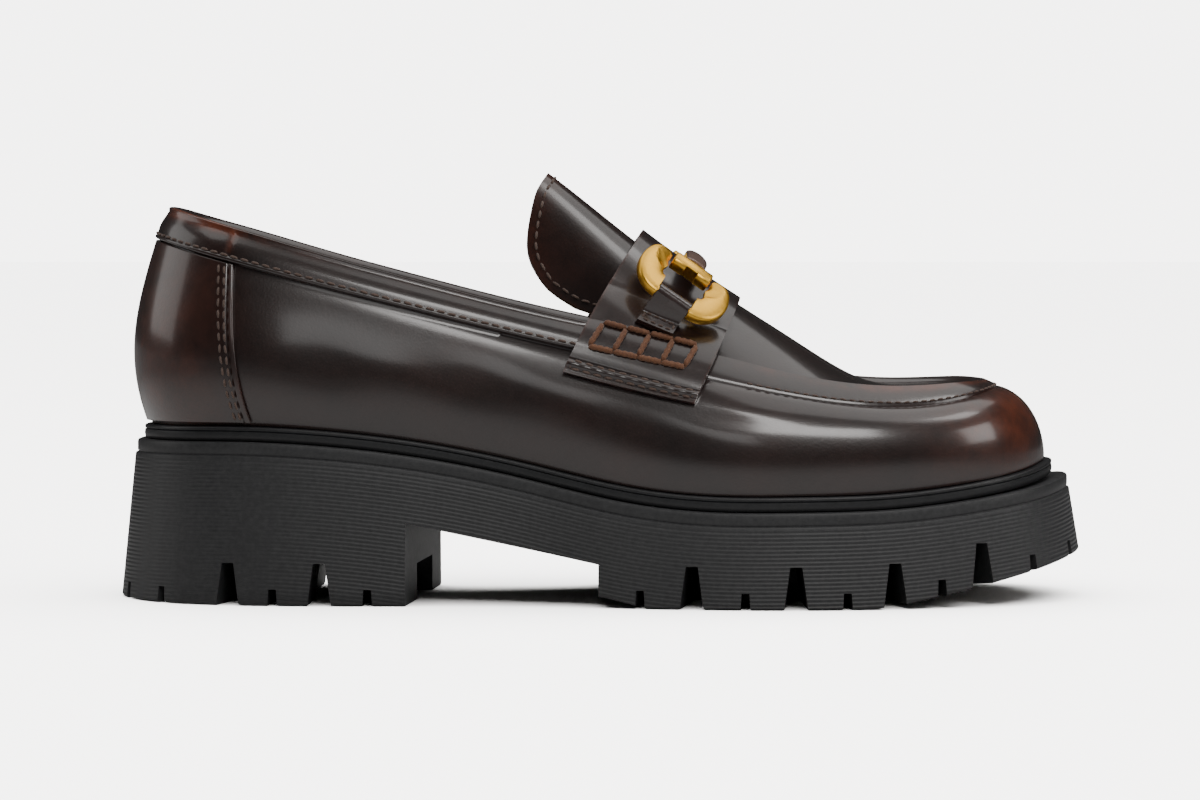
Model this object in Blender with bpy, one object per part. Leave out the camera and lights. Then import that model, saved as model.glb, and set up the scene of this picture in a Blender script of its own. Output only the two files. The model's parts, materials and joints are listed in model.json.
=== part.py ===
# Chunky lug sole loafer, right foot, with a metal snaffle trim on its saddle strap.
# Metres. +X runs from heel to toe, +Y to the inner side of the foot, +Z up.
# The floor is z = 0 and the last's length starts at lastStart on X.
import functools
import math

import bpy
import bmesh
import numpy as np
from mathutils import Matrix

mm = 0.001

# Driving sizes of the last
lastLength = 261 * mm          # feather line, heel to toe
lastStart = -131 * mm          # where the feather line starts at the heel
ballWidth = 92 * mm            # feather line across the ball
heelSeatHeight = 50.6 * mm     # floor to feather line at the heel
platformHeight = 31.8 * mm     # floor to feather line at the ball
toeSpring = 8.5 * mm           # rise of the feather line from ball to toe
collarHeight = 63.2 * mm       # back seam above the feather line
toeBoxHeight = 30 * mm         # plug ridge above the feather line at the toe
instepRise = 46 * mm           # arch of the instep above the plug ridge

# Leather
upperWall = 1.8 * mm
seamGap = 0.3 * mm             # clearance between pieces that touch
bandPuff = 0.5 * mm            # swell of the band under the topline
lipWidth = 3.0 * mm            # plug ridge, crest to valley
lipDrop = 1.5 * mm
archPower = 2.2                # roundness of the instep across the foot
counterThickness = 0.9 * mm
bindingThickness = 1.0 * mm
bindingInside = 0.8            # how far the binding turns down inside, share of the band
tongueThickness = 2.2 * mm
tongueLap = 14 * mm            # how far the tongue runs under the plug
strapThickness = 1.6 * mm
strapLift = 1.7 * mm           # strap's underside over the binding
insoleThickness = 3.0 * mm
insoleMargin = 3.2 * mm        # insole edge inside the feather line

# Sole
midsoleThickness = 4.0 * mm
midsoleEdge = 1.8 * mm         # midsole edge outside the feather line
midsoleRound = 0.7 * mm
ledgeEdge = 4.3 * mm           # outsole's top band outside the feather line
bandHeight = 3.9 * mm          # outsole's top band
bandStep = 0.6 * mm            # step out below the band
flareEnds = 9.0 * mm           # floor edge outside the feather line, heel and toe
flareSides = 6.4 * mm          # the same at the sides
footEdgeRound = 0.8 * mm
archHeightBack = 22.6 * mm     # waist's underside at the heel breast
archHeightFront = 12.2 * mm    # waist's underside at the forefoot block
breastPlace = -51.0 * mm       # heel breast, at the middle of the foot
breastAngle = 6.3              # degrees, inner side further forward
forefootBack = -0.5 * mm       # back face of the forefoot block
forefootBackLift = 3.2 * mm    # block's lower back edge off the floor
forefootBackRun = 13 * mm
treadToeLift = 13.4 * mm       # tread's toe end off the floor
treadLiftStart = 0.80          # where the tread leaves the floor, share of the last's length
treadLiftRun = 0.238
treadLiftPower = 1.2
bigGrooveDepth = 12.0 * mm
bigGrooveMouth = 7.6 * mm
bigGrooveRoof = 3.4 * mm
bigGrooveReach = 25 * mm
smallGrooveDepth = 4.6 * mm
smallGrooveMouth = 3.2 * mm
smallGrooveRoof = 2.2 * mm
smallGrooveReach = 8 * mm
channelDepth = 8.0 * mm        # middle channel of the tread
cutterRun = 10 * mm           # how far the tread cutters reach below the floor
channelMargin = 25 * mm        # channel edge inside the feather line
heelChannelHalf = 15 * mm
middleLugLength = 8.5 * mm
middleLugHalf = 11 * mm

# Metal trim
ringSpan = 29 * mm             # ring, outside, along the strap's width
ringDrop = 16.5 * mm           # barrel axis to ring bar
lobeHalfWidth = 3.3 * mm
lobeHalfThick = 1.8 * mm
lobeTip = 0.5                  # lobe's tip beside the barrel, share of its full size
lobeEnd = 0.80                 # lobe's blunt end, share of the way to the bar
ringBarRadius = 1.0 * mm
barrelLength = 12.4 * mm
barrelRadius = 2.4 * mm
barrelSide = 12.0 * mm         # barrel from the middle of the instep
notchLength = 4.4 * mm
linkWidth = 6.2 * mm
linkThickness = 3.4 * mm
linkRise = 4.6 * mm            # link's top above the strap's ridge
keeperWidth = 11.0 * mm
keeperThickness = 1.0 * mm
keeperTail = 12.5 * mm         # end of the keeper's tail below the bar

ringCount = 84                 # columns round the shoe, an even number
throatPlace = 0.545            # throat of the upper, share of the last's length
counterPlace = 0.105           # front edge of the heel counter
bindingPlace = 0.485           # front end of the collar binding

# Sections of the last from the heel to the toe. Places along the foot are shares of the
# last's length, halves are shares of the ball width.
featherRows = (
    # along, outer half, inner half, heel lift, toe lift
    (0.000, 0.000, 0.000, 0.99, 0.00),
    (0.012, 0.141, 0.141, 1.00, 0.00),
    (0.045, 0.261, 0.245, 1.01, 0.00),
    (0.110, 0.342, 0.293, 1.02, 0.00),
    (0.200, 0.370, 0.293, 0.96, 0.00),
    (0.300, 0.375, 0.266, 0.80, 0.00),
    (0.420, 0.391, 0.250, 0.48, 0.00),
    (0.530, 0.446, 0.299, 0.14, 0.00),
    (0.630, 0.498, 0.391, 0.00, 0.00),
    (0.720, 0.511, 0.467, 0.00, 0.00),
    (0.810, 0.478, 0.473, 0.00, 0.07),
    (0.890, 0.413, 0.424, 0.00, 0.31),
    (0.950, 0.315, 0.337, 0.00, 0.60),
    (0.985, 0.174, 0.196, 0.00, 0.84),
    (1.000, 0.000, 0.000, 0.00, 1.00),
)
# The wall's top, which is the plug seam in front and the foot of the collar band behind.
seamRows = (
    # along, outer half, inner half, rise as a share of the wall height
    (0.010, 0.000, 0.000, 0.867),
    (0.020, 0.125, 0.125, 0.860),
    (0.050, 0.234, 0.217, 0.840),
    (0.103, 0.310, 0.272, 0.805),
    (0.195, 0.342, 0.288, 0.755),
    (0.299, 0.353, 0.283, 0.725),
    (0.421, 0.364, 0.288, 0.725),
    (0.533, 0.391, 0.315, 0.765),
    (0.632, 0.418, 0.359, 0.772),
    (0.720, 0.424, 0.402, 0.738),
    (0.801, 0.402, 0.397, 0.724),
    (0.870, 0.337, 0.348, 0.745),
    (0.918, 0.245, 0.261, 0.765),
    (0.939, 0.130, 0.147, 0.745),
    (0.946, 0.000, 0.000, 0.715),
)
# The topline behind and the crest of the plug ridge in front.
crestRows = (
    # along, outer half, inner half, rise as a share of the wall height, instep arch
    (0.025, 0.000, 0.000, 1.000, 1.60),
    (0.033, 0.103, 0.103, 0.997, 1.58),
    (0.061, 0.196, 0.185, 0.980, 1.55),
    (0.111, 0.266, 0.234, 0.948, 1.50),
    (0.199, 0.299, 0.255, 0.898, 1.42),
    (0.299, 0.310, 0.261, 0.872, 1.26),
    (0.421, 0.321, 0.261, 0.878, 1.03),
    (0.533, 0.337, 0.277, 0.930, 0.69),
    (0.632, 0.353, 0.304, 0.945, 0.42),
    (0.718, 0.359, 0.337, 0.895, 0.215),
    (0.797, 0.342, 0.337, 0.878, 0.035),
    (0.860, 0.288, 0.299, 0.893, 0.00),
    (0.906, 0.212, 0.228, 0.880, 0.00),
    (0.926, 0.114, 0.130, 0.830, 0.00),
    (0.933, 0.000, 0.000, 0.790, 0.00),
)
# How the wall bulges between the feather line and the seam.
bulgeRows = (
    # low lean, high lean (shares of the ball width), low handle, high handle (of the rise)
    (0.076, 0.072, 0.35, 0.40),
    (0.074, 0.071, 0.35, 0.40),
    (0.070, 0.066, 0.35, 0.39),
    (0.062, 0.058, 0.35, 0.38),
    (0.048, 0.046, 0.36, 0.37),
    (0.038, 0.044, 0.37, 0.36),
    (0.034, 0.054, 0.38, 0.32),
    (0.033, 0.066, 0.39, 0.27),
    (0.033, 0.078, 0.40, 0.21),
    (0.033, 0.084, 0.41, 0.17),
    (0.033, 0.090, 0.42, 0.14),
    (0.027, 0.094, 0.43, 0.11),
    (0.014, 0.098, 0.44, 0.09),
    (0.006, 0.098, 0.45, 0.08),
    (0.000, 0.098, 0.45, 0.08),
)
# Free edge of the tongue.
tongueRows = (
    # across, as a share of the instep's half, and along
    (0.00, 0.4490), (0.25, 0.4450), (0.45, 0.4350), (0.62, 0.4270), (0.74, 0.4225),
    (0.82, 0.4260), (0.88, 0.4420), (0.92, 0.4660),
)
# Side edges of the saddle strap, from its sewn end up to the ridge of the instep.
strapRows = (
    # girth, back edge along, front edge along
    (0.72, 0.461, 0.606), (0.86, 0.472, 0.610), (1.00, 0.484, 0.615), (1.60, 0.494, 0.622),
    (2.10, 0.501, 0.628), (3.15, 0.516, 0.638), (3.40, 0.530, 0.646), (3.70, 0.543, 0.655),
    (4.00, 0.5480, 0.660),
)
# Tread grooves on both sides of the sole.
bigGrooves = (0.092, 0.195, 0.599, 0.714, 0.824, 0.922)
smallGrooves = (-0.024, 0.015, 0.143, 0.248, 0.543, 0.658, 0.771, 0.876, 0.979, 1.0215)
middleLugs = (0.625, 0.690, 0.755, 0.815, 0.870)


# Curves through the tables

def splineThrough(knots, values, closed):
    """C2 cubic through rows of values, one row for each knot. Closed curves end where they start."""
    knots = np.asarray(knots, float)
    values = np.asarray(values, float)
    if values.ndim == 1:
        values = values[:, None]
    if closed:
        values = np.vstack([values, values[:1]])
    steps = np.diff(knots)
    count = len(knots)
    matrix = np.zeros((count, count))
    target = np.zeros((count, values.shape[1]))
    slopes = np.diff(values, axis=0) / steps[:, None]
    for i in range(1, count - 1):
        matrix[i, i - 1:i + 2] = steps[i - 1], 2 * (steps[i - 1] + steps[i]), steps[i]
        target[i] = 6 * (slopes[i] - slopes[i - 1])
    if closed:
        matrix[0, 0], matrix[0, -1] = 1, -1
        matrix[-1, 0:2] = 2 * steps[0], steps[0]
        matrix[-1, -2:] = steps[-1], 2 * steps[-1]
        target[-1] = 6 * (slopes[0] - slopes[-1])
    else:
        matrix[0, 0] = matrix[-1, -1] = 1
    bends = np.linalg.solve(matrix, target)

    def at(u):
        u = np.asarray(u, float)
        i = np.clip(np.searchsorted(knots, u, side="right") - 1, 0, count - 2)
        h = steps[i][..., None]
        a = (knots[i + 1] - u)[..., None] / h
        b = 1 - a
        return (a * values[i] + b * values[i + 1]
                + ((a ** 3 - a) * bends[i] + (b ** 3 - b) * bends[i + 1]) * h * h / 6)
    return at


def bothSides(rows, columns):
    """Values of some columns, for the outer side from the heel to the toe and back inside."""
    picked = [[row[c] for c in columns] for row in rows]
    return np.array(picked + picked[-2:0:-1])


def planLoop(rows):
    """Plan points of a section table round the foot."""
    along = [lastStart + row[0] * lastLength for row in rows]
    outer = [(x, -row[1] * ballWidth) for x, row in zip(along, rows)]
    inner = [(x, row[2] * ballWidth) for x, row in zip(along, rows)]
    return np.array(outer + inner[-2:0:-1])


def loopKnots():
    """Knots from 0 to 1 round the foot, the same on both sides."""
    loop = planLoop(featherRows)
    half = len(featherRows)
    outer = np.linalg.norm(np.diff(loop[:half], axis=0), axis=1)
    inner = np.linalg.norm(np.diff(np.vstack([loop[half - 1:], loop[:1]]), axis=0), axis=1)[::-1]
    mean = (outer + inner) / 2
    places = np.concatenate([[0], np.cumsum(mean)])
    places = places / places[-1] / 2
    return np.concatenate([places, 1 - places[-2::-1]])


knots = loopKnots()


def wallHeights(rows):
    """Local height of the upper, from the collar at the heel to the toe box."""
    along = bothSides(rows, (0,))[:, 0]
    return collarHeight + (toeBoxHeight - collarHeight) * along


featherPlan = splineThrough(knots, planLoop(featherRows), True)
seamPlan = splineThrough(knots, planLoop(seamRows), True)
crestPlan = splineThrough(knots, planLoop(crestRows), True)
lifts = bothSides(featherRows, (3, 4))
featherLevels = (platformHeight + (heelSeatHeight - platformHeight) * lifts[:, 0]
                 + toeSpring * lifts[:, 1])
featherLevel = splineThrough(knots, featherLevels, True)
seamRise = splineThrough(knots, bothSides(seamRows, (3,))[:, 0] * wallHeights(featherRows), True)
crestRise = splineThrough(knots, bothSides(crestRows, (3,))[:, 0] * wallHeights(featherRows), True)
archRise = splineThrough(knots, bothSides(crestRows, (4,))[:, 0] * instepRise, True)
bulge = splineThrough(knots, bothSides(bulgeRows, (0, 1, 2, 3)), True)


def planNormal(plan, s):
    """Outward normal of a plan loop."""
    step = 0.002
    run = plan((s + step) % 1.0) - plan((s - step) % 1.0)
    run = run / np.linalg.norm(run, axis=-1, keepdims=True)
    return np.stack([run[..., 1], -run[..., 0]], axis=-1)


def floorHeight(x):
    """Underside of the tread: flat, lifted at the toe and a little behind the forefoot block."""
    x = np.asarray(x, float)
    run = np.maximum((x - lastStart) / lastLength - treadLiftStart, 0) / treadLiftRun
    back = np.clip(1 - np.abs(x - forefootBack) / forefootBackRun, 0, 1)
    return treadToeLift * run ** treadLiftPower + forefootBackLift * back


# The upper's outer face: girth 0 is the feather line, 1 the seam, 2 the crest or topline,
# 3 the valley inside the plug ridge and 4 the middle of the instep.

def skin(s, girth):
    s = np.asarray(s, float) % 1.0
    girth = np.asarray(girth, float) + np.zeros_like(s)
    s = s + np.zeros_like(girth)
    up = np.array([0, 0, 1.0])

    def lifted(plan, level):
        return np.concatenate([plan, level[..., None]], axis=-1)

    def sideways(plan):
        return np.concatenate([planNormal(plan, s), np.zeros(s.shape + (1,))], axis=-1)

    base = featherLevel(s)[..., 0]
    feather = lifted(featherPlan(s), base)
    seam = lifted(seamPlan(s), base + seamRise(s)[..., 0])
    crest = lifted(crestPlan(s), base + crestRise(s)[..., 0])
    out = sideways(featherPlan)
    lean = bulge(s)
    rise = seamRise(s)
    low = feather + out * lean[..., 0:1] * ballWidth + up * rise * lean[..., 2:3]
    high = seam + out * lean[..., 1:2] * ballWidth - up * rise * lean[..., 3:4]
    t = np.clip(girth, 0, 1)[..., None]
    wall = (feather * (1 - t) ** 3 + 3 * low * t * (1 - t) ** 2
            + 3 * high * t * t * (1 - t) + seam * t ** 3)
    t = np.clip(girth - 1, 0, 1)[..., None]
    band = seam * (1 - t) + crest * t + out * bandPuff * 4 * t * (1 - t)
    crestOut = sideways(crestPlan)
    # The ridge shrinks with the plug at the toe's tip.
    room = np.linalg.norm(crestPlan(s) - crestPlan(1 - s), axis=-1) / 2
    share = np.clip(room / lipWidth / 2, 0.35, 1)[..., None]
    t = np.clip(girth - 2, 0, 1)[..., None]
    valley = crest - crestOut * lipWidth * share - up * lipDrop * share
    lip = crest * (1 - t) + valley * t + up * lipDrop * 0.6 * t * (1 - t)
    mirrorCrest = lifted(crestPlan(1 - s), featherLevel(1 - s)[..., 0] + crestRise(1 - s)[..., 0])
    normal = planNormal(crestPlan, 1 - s)
    mirrorOut = np.concatenate([normal, np.zeros(s.shape + (1,))], axis=-1)
    mirrorValley = mirrorCrest - mirrorOut * lipWidth * share - up * lipDrop * share
    t = np.clip(girth - 3, 0, 1)[..., None]
    middle = (valley + mirrorValley) / 2
    arch = (valley * (1 - t) + middle * t
            + up * np.maximum(archRise(s), 0) * (1 - (1 - t) ** archPower))
    pick = girth[..., None]
    return np.where(pick <= 1, wall, np.where(pick <= 2, band, np.where(pick <= 3, lip, arch)))


def skinNormal(s, girth, smooth=0.12):
    """Outward normal, averaged over a little of the girth so that it turns gently at a seam."""
    s = np.asarray(s, float)
    step = 0.003
    along = skin(s + step, girth) - skin(s - step, girth)
    low = np.clip(np.asarray(girth, float) - smooth, 0, 4)
    high = np.clip(np.asarray(girth, float) + smooth, 0, 4)
    around = skin(s, high) - skin(s, low)
    normal = np.cross(along, around)
    return normal / np.linalg.norm(normal, axis=-1, keepdims=True)


@functools.lru_cache(maxsize=None)
def girthLine(girth, inner):
    """Shares of the last's length and loop parameters along a girth line of one side."""
    s = np.linspace(0.02, 0.48, 300)
    if inner:
        s = 1 - s
    return (skin(s, np.full(s.shape, girth))[:, 0] - lastStart) / lastLength, s


def placeToS(place, girth, inner):
    """Loop parameter where a girth line passes a share of the last's length."""
    along, s = girthLine(round(float(girth), 4), bool(inner))
    return float(np.interp(place, along, s))


# Mesh helpers

def addObject(name, points, faces, material, smooth=True):
    mesh = bpy.data.meshes.new(name)
    mesh.from_pydata([tuple(p) for p in np.asarray(points)], [], faces)
    work = bmesh.new()
    work.from_mesh(mesh)
    bmesh.ops.remove_doubles(work, verts=work.verts, dist=0.00001)
    bmesh.ops.dissolve_degenerate(work, edges=work.edges, dist=0.00001)
    bmesh.ops.recalc_face_normals(work, faces=work.faces)
    work.to_mesh(mesh)
    work.free()
    if smooth:
        mesh.shade_smooth()
        mesh.set_sharp_from_angle(angle=math.radians(35))
    mesh.materials.append(material)
    obj = bpy.data.objects.new(name, mesh)
    bpy.context.scene.collection.objects.link(obj)
    return obj


def slab(name, lower, upper, material):
    """Closed solid between two grids of points of the same size."""
    lower, upper = np.asarray(lower), np.asarray(upper)
    rows, columns = lower.shape[:2]

    def index(layer, i, j):
        return layer * rows * columns + i * columns + j

    faces = []
    for i in range(rows - 1):
        for j in range(columns - 1):
            faces.append((index(0, i, j), index(0, i, j + 1), index(0, i + 1, j + 1), index(0, i + 1, j)))
            faces.append((index(1, i, j), index(1, i + 1, j), index(1, i + 1, j + 1), index(1, i, j + 1)))
    edge = [(0, j) for j in range(columns)] + [(i, columns - 1) for i in range(1, rows)]
    edge += [(rows - 1, j) for j in range(columns - 2, -1, -1)] + [(i, 0) for i in range(rows - 2, 0, -1)]
    for a, b in zip(edge, edge[1:] + edge[:1]):
        faces.append((index(0, *a), index(1, *a), index(1, *b), index(0, *b)))
    points = np.vstack([lower.reshape(-1, 3), upper.reshape(-1, 3)])
    return addObject(name, points, faces, material)


def sweep(name, sections, material, closed=False):
    """Solid through section loops with the same number of points. Open sweeps get flat ends."""
    sections = np.asarray(sections)
    count, sides = sections.shape[:2]
    faces = []
    for i in range(count if closed else count - 1):
        k = (i + 1) % count
        for j in range(sides):
            n = (j + 1) % sides
            faces.append((i * sides + j, i * sides + n, k * sides + n, k * sides + j))
    if not closed:
        faces.append(tuple(range(sides - 1, -1, -1)))
        faces.append(tuple((count - 1) * sides + j for j in range(sides)))
    return addObject(name, sections.reshape(-1, 3), faces, material)


def plate(name, rings, material):
    """Solid through closed rings from the bottom up, capped by strips across the foot."""
    rings = np.asarray(rings)
    levels, count = rings.shape[:2]
    faces = []
    for i in range(levels - 1):
        for j in range(count):
            n = (j + 1) % count
            faces.append((i * count + j, i * count + n, (i + 1) * count + n, (i + 1) * count + j))
    top = (levels - 1) * count
    for j in range(count // 2):
        corners = [j, (j + 1) % count, (count - j - 1) % count, (count - j) % count]
        strip = list(dict.fromkeys(corners))
        if len(strip) > 2:
            faces.append(tuple(strip[::-1]))
            faces.append(tuple(top + c for c in strip))
    return addObject(name, rings.reshape(-1, 3), faces, material)


def cut(target, cutter, operation="DIFFERENCE"):
    """Applies a Boolean modifier and removes the cutter."""
    modifier = target.modifiers.new("cut", "BOOLEAN")
    modifier.operation = operation
    modifier.object = cutter
    modifier.solver = "EXACT"
    graph = bpy.context.evaluated_depsgraph_get()
    shape = bpy.data.meshes.new_from_object(target.evaluated_get(graph))
    target.modifiers.clear()
    target.data = shape
    bpy.data.objects.remove(cutter)


def makeMaterial(name, colour, roughness, metallic=0.0):
    material = bpy.data.materials.new(name)
    material.use_nodes = True
    shader = material.node_tree.nodes["Principled BSDF"]
    shader.inputs["Base Color"].default_value = (*colour, 1)
    shader.inputs["Roughness"].default_value = roughness
    shader.inputs["Metallic"].default_value = metallic
    return material


# The upper

def columnParameters():
    return np.arange(ringCount) / ringCount


def throatColumn():
    return int(round(placeToS(throatPlace, 2.0, False) * ringCount))


def makeUpper(material):
    """Hollow shell: a wall all round, the band, and the plug in front of the throat."""
    params = columnParameters()
    girths = [0, 0.16, 0.33, 0.5, 0.67, 0.83, 1.0, 1.5, 2.0, 2.5, 3.0, 3.12, 3.26, 3.4, 3.6, 3.8, 4.0]
    crestRow = girths.index(2.0)
    valleyRow = girths.index(3.0)
    lastRow = len(girths) - 1
    half = ringCount // 2
    first = throatColumn()
    keys, points, inside = {}, [], []

    def vertex(i, row):
        i = i % ringCount
        if row == lastRow:
            i = min(i, ringCount - i)
        if i == half and row > valleyRow:
            row = valleyRow
        if (i, row) not in keys:
            keys[i, row] = len(points)
            place = skin(params[i], girths[row])
            normal = skinNormal(params[i], girths[row])
            if row == lastRow:
                normal = normal + skinNormal(1 - params[i], girths[row])
                normal = normal / np.linalg.norm(normal)
            if i == half and row >= crestRow:
                normal = np.array([0.5, 0, 0.85]) if row == crestRow else np.array([0, 0, 1.0])
            points.append(place)
            # The lining stays level at the feather line, so the rim stands flat on the sole.
            if row == 0:
                normal = np.array([normal[0], normal[1], 0]) / np.hypot(normal[0], normal[1])
            inside.append(place - normal * upperWall)
        return keys[i, row]

    faces = []
    for i in range(ringCount):
        inFront = first <= i < ringCount - first
        for row in range(lastRow if inFront else crestRow):
            corners = [vertex(i, row), vertex(i + 1, row), vertex(i + 1, row + 1), vertex(i, row + 1)]
            corners = list(dict.fromkeys(corners))
            if len(corners) > 2:
                faces.append(tuple(corners))
    edges = {}
    for face in faces:
        for a, b in zip(face, face[1:] + face[:1]):
            edges[a, b] = True
    total = len(points)
    shell = list(faces) + [tuple(total + v for v in face[::-1]) for face in faces]
    for a, b in edges:
        if (b, a) not in edges:
            shell.append((b, a, total + a, total + b))
    return addObject("upper", points + inside, shell, material)


def makeCounter(material):
    """Heel counter overlay, from the feather line up to the binding."""
    edge = placeToS(counterPlace, 0.5, False)
    columns = np.linspace(-edge, edge, 2 * int(round(edge * ringCount)) + 1)
    girths = np.array([0.02, 0.16, 0.33, 0.5, 0.67, 0.83, 0.955])
    s, girth = np.meshgrid(columns, girths, indexing="ij")
    place, normal = skin(s, girth), skinNormal(s, girth)
    lower = place + normal * seamGap
    upper = lower + normal * counterThickness
    return slab("heel_counter", lower, upper, material)


def makeBinding(material):
    """Collar binding: down the outside to the band's foot, over the rim and down inside."""
    edge = placeToS(bindingPlace, 2.0, False)
    count = 2 * int(round(edge * ringCount))
    sections = []
    deep = 2 - bindingInside
    for s in np.linspace(-edge, edge, count + 1):
        outer = [(g, seamGap) for g in (1.02, 1.5, 1.97)]
        cover = [(g, seamGap + bindingThickness) for g in (1.97, 1.5, 1.02)]
        inner = [(g, -upperWall - seamGap) for g in (1.97, deep)]
        lining = [(g, -upperWall - seamGap - bindingThickness) for g in (deep, 1.97)]
        up = np.array([0, 0, 1.0])

        def at(pair, s=s):
            return skin(s, pair[0]) + skinNormal(s, 1.5) * pair[1]

        rim = skin(s, 2.0)
        normal = skinNormal(s, 1.5)
        loop = [at(p) for p in outer]
        loop += [rim + normal * seamGap + up * seamGap]
        loop += [rim - normal * (upperWall + seamGap) + up * seamGap]
        loop += [at(p) for p in inner]
        loop += [at(p) for p in lining]
        loop += [rim - normal * upperWall + up * (seamGap + bindingThickness)]
        loop += [rim + up * (seamGap + bindingThickness)]
        loop += [at(p) for p in cover]
        sections.append(loop)
    return sweep("collar_binding", sections, material)


def makeTongue(material):
    """Tongue: an arched sheet that comes out from under the plug and stands over the collar."""
    edge = splineThrough([row[0] for row in tongueRows], [row[1] for row in tongueRows], False)
    across = [-0.92, -0.88, -0.74, -0.6, -0.4, -0.2, 0, 0.2, 0.4, 0.6, 0.74, 0.88, 0.92]
    front = throatPlace + tongueLap / lastLength
    steps = np.array([0, 0.1, 0.3, 0.5, 0.7, 0.85, 1.0])
    lower, upper = [], []
    for share in across:
        girth = 4 - abs(share)
        back = float(edge(abs(share))[0])
        rowLow, rowHigh = [], []
        for step in steps:
            place = back + (front - back) * step
            s = placeToS(place, girth, share > 0)
            point, normal = skin(s, girth), skinNormal(s, girth)
            if share == 0:
                normal = normal * np.array([1, 0, 1])
                normal = normal / np.linalg.norm(normal)
            top = point - normal * (upperWall + seamGap)
            rowHigh.append(top)
            rowLow.append(top - normal * tongueThickness)
        lower.append(rowLow)
        upper.append(rowHigh)
    return slab("tongue", lower, upper, material)


# The saddle strap, as a surface of its own: u runs across its width from the back edge to
# the front edge, and girth from the sewn end on one side, over the instep, to the other.

strapEdges = splineThrough([row[0] for row in strapRows], [row[1:] for row in strapRows], False)


def strapClearance(girth):
    """The underside clears the binding low down and settles on plug and tongue at the ridge."""
    ease = np.clip((4 - girth) / 1.6, 0, 1)
    return seamGap * 1.5 + (strapLift - seamGap * 1.5) * ease * ease * (3 - 2 * ease)


def strapPoint(u, girth, inner, depth):
    """Point of the strap: depth 0 is its underside and 1 its outer face."""
    back, front = strapEdges(girth)
    place = back + (front - back) * u
    # Over the plug ridge the strap runs straight from the crest to the arch.
    if 2.0 < girth < 3.2:
        low, high = strapPlain(place, 2.0, inner), strapPlain(place, 3.2, inner)
        share = (girth - 2.0) / 1.2
        point = low[0] * (1 - share) + high[0] * share
        normal = low[1] * (1 - share) + high[1] * share
        normal = normal / np.linalg.norm(normal)
    else:
        point, normal = strapPlain(place, girth, inner)
    return point + normal * (strapClearance(girth) + strapThickness * depth), normal


def strapPlain(place, girth, inner):
    s = placeToS(place, girth, inner)
    point, normal = skin(s, girth), skinNormal(s, girth, 0.3)
    if girth > 3.99:
        normal = normal * np.array([1, 0, 1])
        normal = normal / np.linalg.norm(normal)
    return point, normal


def makeStrap(material):
    girths = [0.72, 0.86, 1.0, 1.5, 2.0, 3.2, 3.35, 3.5, 3.67, 3.83, 4.0]
    path = [(g, False) for g in girths] + [(g, True) for g in girths[-2::-1]]
    lower, upper = [], []
    for girth, inner in path:
        lower.append([strapPoint(u, girth, inner, 0)[0] for u in (0, 0.25, 0.5, 0.75, 1)])
        upper.append([strapPoint(u, girth, inner, 1)[0] for u in (0, 0.25, 0.5, 0.75, 1)])
    return slab("saddle_strap", lower, upper, material)


# Metal trim. Each ring lies in a plane over one side of the strap.

@functools.lru_cache(maxsize=None)
def strapProfile(inner):
    """Girths down one side, with points, normals and widthways directions of the strap's middle."""
    girths = np.linspace(4.0, 2.0, 81)
    found = [strapPoint(0.5, g, inner, 1) for g in girths]
    wide = [strapPoint(0.7, g, inner, 1)[0] - strapPoint(0.3, g, inner, 1)[0] for g in girths]
    return girths, np.array([p for p, _ in found]), np.array([n for _, n in found]), np.array(wide)


def girthAt(side, inner):
    """Girth where the strap's middle line lies a distance out from the middle of the instep."""
    girths, points, _, _ = strapProfile(inner)
    return float(np.interp(side, np.abs(points[:, 1] - points[0, 1]), girths))


@functools.lru_cache(maxsize=None)
def ringFrame(inner):
    """Barrel centre, direction along the strap's width, down the ring and off the strap."""
    lowSide = barrelSide + ringDrop * 0.8
    high, normal = strapPoint(0.5, girthAt(barrelSide, inner), inner, 1)
    low = strapPoint(0.5, girthAt(lowSide, inner), inner, 1)[0]
    along = strapPoint(0.85, 4.0, inner, 1)[0] - strapPoint(0.15, 4.0, inner, 1)[0]
    along = along / np.linalg.norm(along)
    down = low - high
    down = down - along * (down @ along)
    down = down / np.linalg.norm(down)
    off = np.cross(down, along)
    if off @ normal < 0:
        off = -off
    # The ring's plane clears the strap under barrel, lobes and bar.
    loopDepth = ringBarRadius + seamGap + keeperThickness
    height = 0.0
    for side in np.linspace(barrelSide - 3 * mm, lowSide + 4 * mm, 14):
        for u in (0.1, 0.3, 0.5, 0.7, 0.9):
            place = strapPoint(u, girthAt(side, inner), inner, 1)[0] - high
            reach, across, swell = place @ down, place @ along, place @ off
            need = lobeHalfThick
            if abs(reach) < barrelRadius and abs(across) < barrelLength / 2 + 1 * mm:
                need = barrelRadius
            if abs(reach - ringDrop) < loopDepth and abs(across) < keeperWidth / 2 + 1 * mm:
                need = loopDepth
            height = max(height, swell + need)
    return high + off * (height + seamGap), along, down, off


def ringPath():
    """Ring centreline: places along and down, with half width and half thickness of the metal."""
    middle = ringDrop / 2
    reach = ringSpan / 2 - lobeHalfWidth
    top = barrelLength / 2 + seamGap + 0.5 * mm
    bottom = keeperWidth / 2 + seamGap
    rows = []
    for share in np.linspace(0, lobeEnd, 9):
        angle = share * math.pi
        inset = top + (bottom - top) * share
        swell = lobeTip + (1 - lobeTip) * math.sin(min(angle / 0.62, math.pi / 2)) ** 0.8
        rows.append((inset + (reach - inset) * math.sin(angle), middle - middle * math.cos(angle),
                     lobeHalfWidth * swell, lobeHalfThick * swell))
    last = rows[-1]
    run = 0.6 * mm
    rows.append((last[0] - run, last[1] + run * 0.6, ringBarRadius, ringBarRadius))
    rows.append((bottom + 0.4 * mm, ringDrop, ringBarRadius, ringBarRadius))
    return rows + [(-a, d, w, h) for a, d, w, h in rows[::-1]]


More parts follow.
